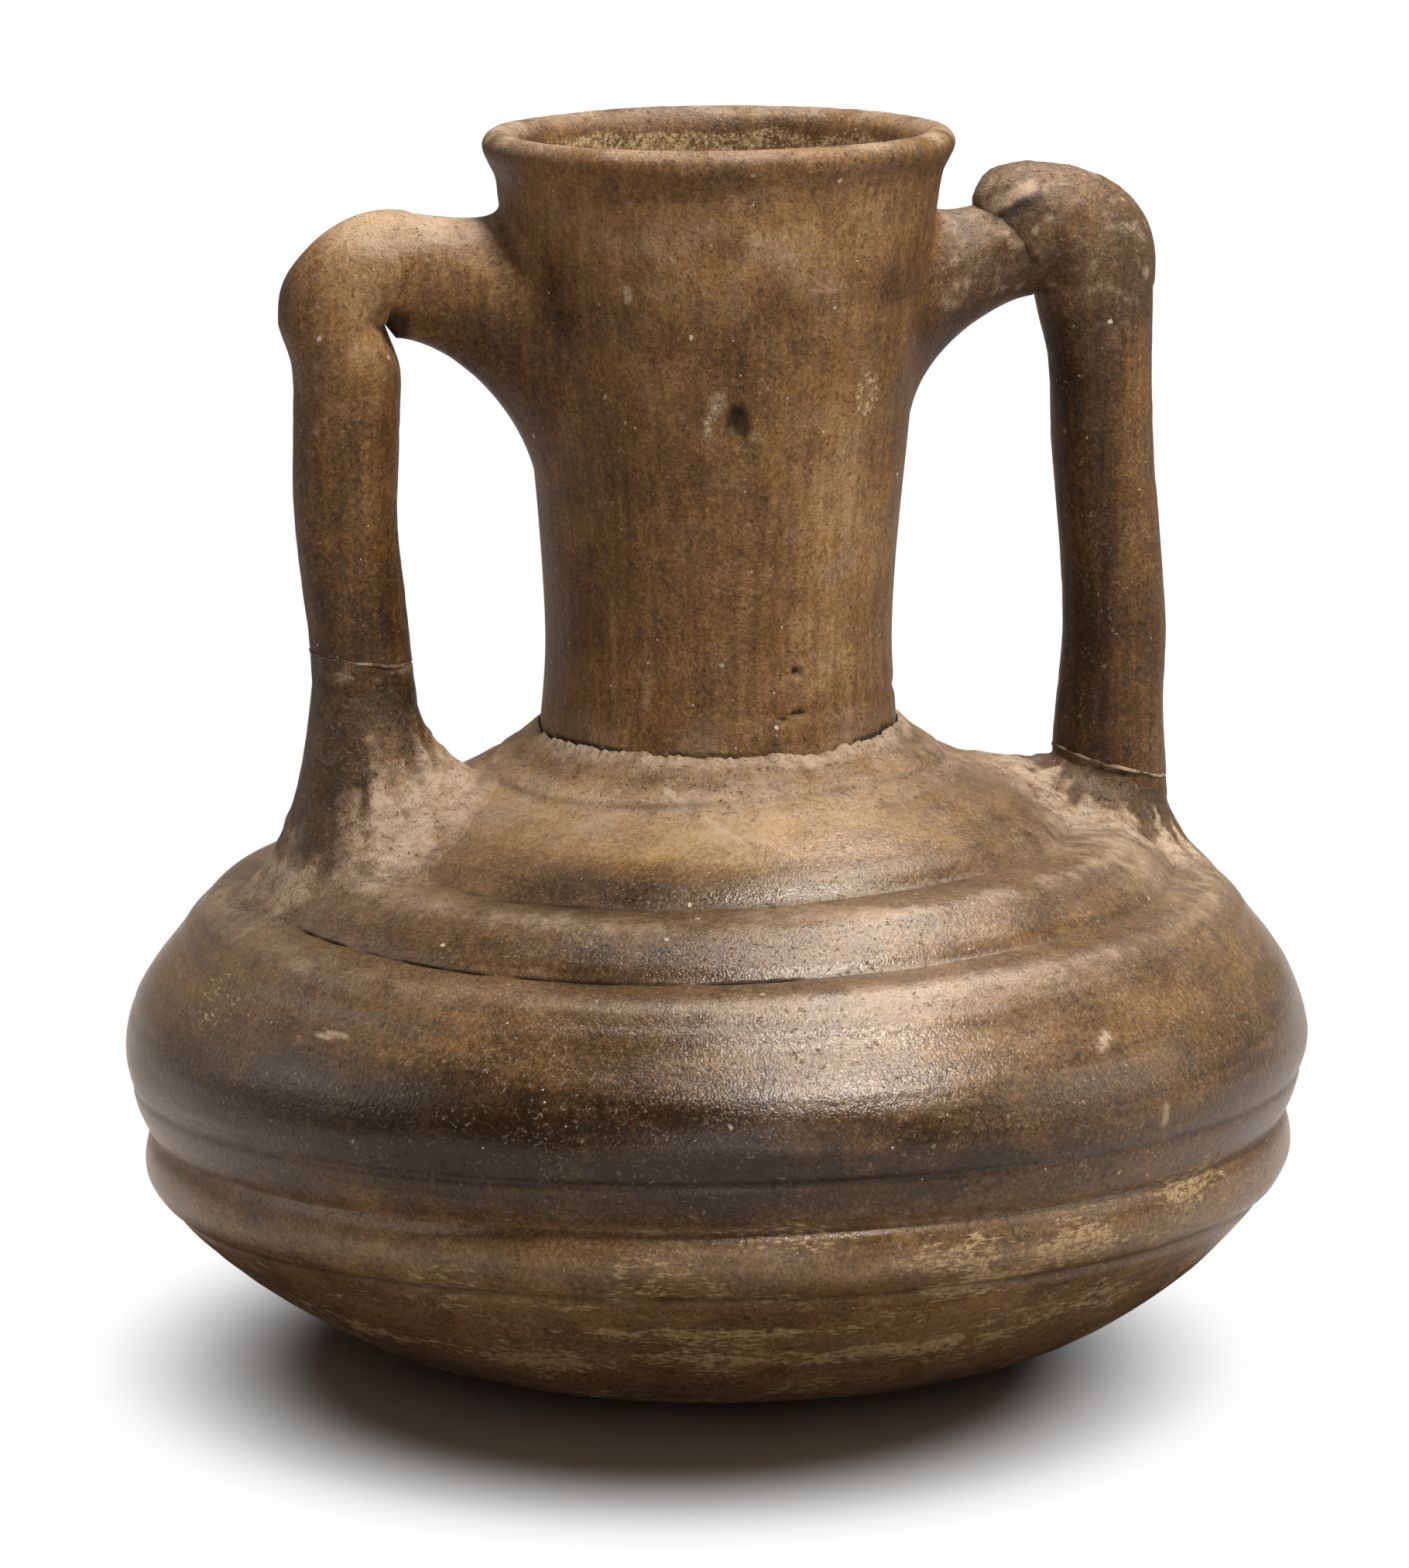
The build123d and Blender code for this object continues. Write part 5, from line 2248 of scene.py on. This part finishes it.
@dataclass
class Studio:
    """A plain pale floor, soft light from above and the camera."""

    camera_distance: float = 0.800
    camera_height: float = 0.252
    camera_pitch: float = 12.34
    focal_pixels: float = 7426.0
    axis_pixel: float = 928.0
    picture_width: float = 1820.0
    picture_height: float = 2026.0
    sensor: float = 36.0
    floor_size: float = 6.0
    floor_colour: Colour = (0.90, 0.86, 0.84)
    light_colour: Colour = (1.0, 0.95, 0.90)
    room_colour: Colour = (1.0, 0.86, 0.70)
    ambient: float = 0.055
    shadow_shift: Point = (-0.007, 0.024)
    white_from: float = 0.048
    white_to: float = 0.085
    backdrop: float = 0.30
    unlit: bpy.types.Collection | None = None

    def place(self, right: float, near: float, up: float) -> tuple[float, float, float]:
        """A place given as the viewer sees it: to the right, towards the viewer and up, in metres."""
        return (
            right * math.cos(VIEW_SIDE) + near * math.sin(VIEW_SIDE),
            right * math.sin(VIEW_SIDE) - near * math.cos(VIEW_SIDE),
            up,
        )

    def floor(self) -> None:
        """The floor: matt near the pot, where it keeps the shadow, and glowing white to the camera from a
        ring round the shadow outwards, painted light that cuts the shadow short.
        """
        deselect()
        bpy.ops.mesh.primitive_plane_add(size=self.floor_size)
        floor = bpy.context.object
        floor.name = "studio_floor"
        material, bench = new_material("pale_floor")
        spots = {
            0: bench.node("ShaderNodeTexCoord", output="Object"),
            1: self.place(*self.shadow_shift, 0.0),
        }
        away = bench.node("ShaderNodeVectorMath", {"operation": "DISTANCE"}, spots, "Value")
        camera_ray = bench.node("ShaderNodeLightPath", output="Is Camera Ray")
        # Painted light: past a ring round the shadow, the floor glows white to the camera and cuts the
        # shadow short.
        white = away.stepped(self.white_from, self.white_to) * camera_ray
        matt = bench.node("ShaderNodeBsdfDiffuse", {}, {"Color": (*self.floor_colour, 1.0)})
        glow = bench.node("ShaderNodeEmission", {}, {"Color": (1.0, 1.0, 1.0, 1.0), "Strength": 1.0})
        mixed = bench.node("ShaderNodeMixShader", {}, {0: white, 1: matt, 2: glow})
        bench.end("ShaderNodeOutputMaterial", mixed)
        floor.data.materials.append(material)
        self.unlit = bpy.data.collections.new("unlit_floor")
        self.unlit.objects.link(floor)
        self.unlit.collection_objects[0].light_linking.link_state = "EXCLUDE"

    def world(self) -> None:
        """A dim room that looks white to the camera."""
        world = bpy.data.worlds.new("studio_room")
        world.use_nodes = True
        bpy.context.scene.world = world
        bench = Bench(world.node_tree)
        camera_ray = bench.node("ShaderNodeLightPath", output="Is Camera Ray")
        glossy_ray = bench.node("ShaderNodeLightPath", output="Is Glossy Ray")
        directions = {
            0: bench.node("ShaderNodeTexCoord", output="Generated"),
            1: self.place(0.0, -1.0, 0.0),
        }
        facing = bench.node("ShaderNodeVectorMath", {"operation": "DOT_PRODUCT"}, directions, "Value")
        shown = self.ambient + self.backdrop * glossy_ray * facing.stepped(-0.1, 0.6)
        strength = shown + (1.0 - shown) * camera_ray
        colour = bench.blend(camera_ray, self.room_colour, (1.0, 1.0, 1.0))
        sky = bench.node("ShaderNodeBackground", {}, {"Color": colour, "Strength": strength})
        bench.end("ShaderNodeOutputWorld", sky)

    def panel(
        self,
        name: str,
        where: tuple[float, float, float],
        aim: float,
        size: float,
        power: float,
    ) -> None:
        """A soft square light.

        Args:
            name: Name of the lamp.
            where: Its place.
            aim: Height on the pot's axis that it points at.
            size: Length of its side.
            power: Its power in watts.
        """
        lamp = bpy.data.lights.new(name, "AREA")
        lamp.shape = "SQUARE"
        lamp.size = size
        lamp.energy = power
        lamp.color = self.light_colour
        holder = bpy.data.objects.new(name, lamp)
        bpy.context.scene.collection.objects.link(holder)
        holder.location = where
        away = np.array((-where[0], -where[1], aim - where[2]))
        yaw = math.atan2(away[1], away[0])
        flat = math.hypot(away[0], away[1])
        holder.rotation_euler = (math.atan2(flat, -away[2]), 0.0, yaw - math.pi / 2)
        if name != "above":
            holder.light_linking.receiver_collection = self.unlit

    def lights(self) -> None:
        """The light above that throws the shadow, and soft panels that spare the floor."""
        self.panel("above", self.place(0.16, -0.26, 1.00), 0.04, 0.50, 9.5)
        self.panel("front_above", self.place(0.31, 0.42, 1.00), 0.05, 0.16, 10.6)
        self.panel("front_low", self.place(0.10, 1.10, 0.14), 0.06, 0.6, 2.4)
        self.panel("right_side", self.place(1.15, 0.20, 0.55), 0.09, 0.7, 3.4)
        self.panel("left_side", self.place(-1.1, -0.1, 0.60), 0.09, 0.7, 2.0)

    def camera(self) -> None:
        """The camera at the photograph's angle."""
        lens = bpy.data.cameras.new("view_camera")
        lens.sensor_fit = "AUTO"
        lens.sensor_width = self.sensor
        lens.lens = self.focal_pixels * self.sensor / self.picture_height
        lens.shift_x = (self.picture_width / 2 - self.axis_pixel) / self.picture_height
        lens.clip_start = 0.05
        holder = bpy.data.objects.new("view_camera", lens)
        bpy.context.scene.collection.objects.link(holder)
        holder.location = self.place(0.0, self.camera_distance, self.camera_height)
        holder.rotation_euler = (math.radians(90 - self.camera_pitch), 0.0, VIEW_SIDE)
        bpy.context.scene.camera = holder

    def build(self) -> None:
        """Set up the floor, the light and the camera."""
        self.floor()
        self.world()
        self.lights()
        self.camera()
        bpy.context.scene.view_settings.view_transform = "Standard"


def main() -> None:
    """Build the flask's pieces in order, dress them and set up the studio."""
    logging.basicConfig(level=logging.INFO, format="%(message)s")
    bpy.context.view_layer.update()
    burnished = {"drag": (0.05, 0.05, 0.9), "gloss": 0.19, "shine": 0.62, "grain_bump": 0.42}
    body_clay = ClayFinish("body_clay_burnished", GREY_BROWNS, **burnished).build()
    upright = {
        "drag": (0.8, 0.8, 0.05),
        "flake": (1.5, 1.5, 1.5),
        "crust": (0.74, 0.57, 0.33),
        "speck_share": 0.94,
        "gloss": 0.44,
        "shine": 0.35,
        "mottling": 0.40,
        "dragging": 0.50,
        "grain_bump": 0.75,
    }
    neck_clay = ClayFinish("neck_clay_dragged", RED_BROWNS, **upright).build()
    handle_clay = ClayFinish("handle_clay_dragged", RED_BROWNS, **upright).build()
    smeared = {"drag": (0.05, 0.05, 0.9), "gloss": 0.46, "grain_bump": 0.8, "dust": (0.54, 0.42, 0.31)}
    luting_clay = ClayFinish("luting_clay_smeared", GREY_BROWNS, **smeared).build()
    glue = GlueFinish("old_glue").build()
    outline = PotOutline()
    hand = PotterHand(outline)
    PotBody(outline, hand).build(body_clay)
    PotNeck(outline, hand).build(neck_clay, luting_clay)
    left_handle(outline, hand).build(handle_clay, luting_clay, glue)
    right_handle(outline, hand).build(handle_clay, luting_clay, glue)
    Studio().build()


if __name__ == "__main__":
    main()
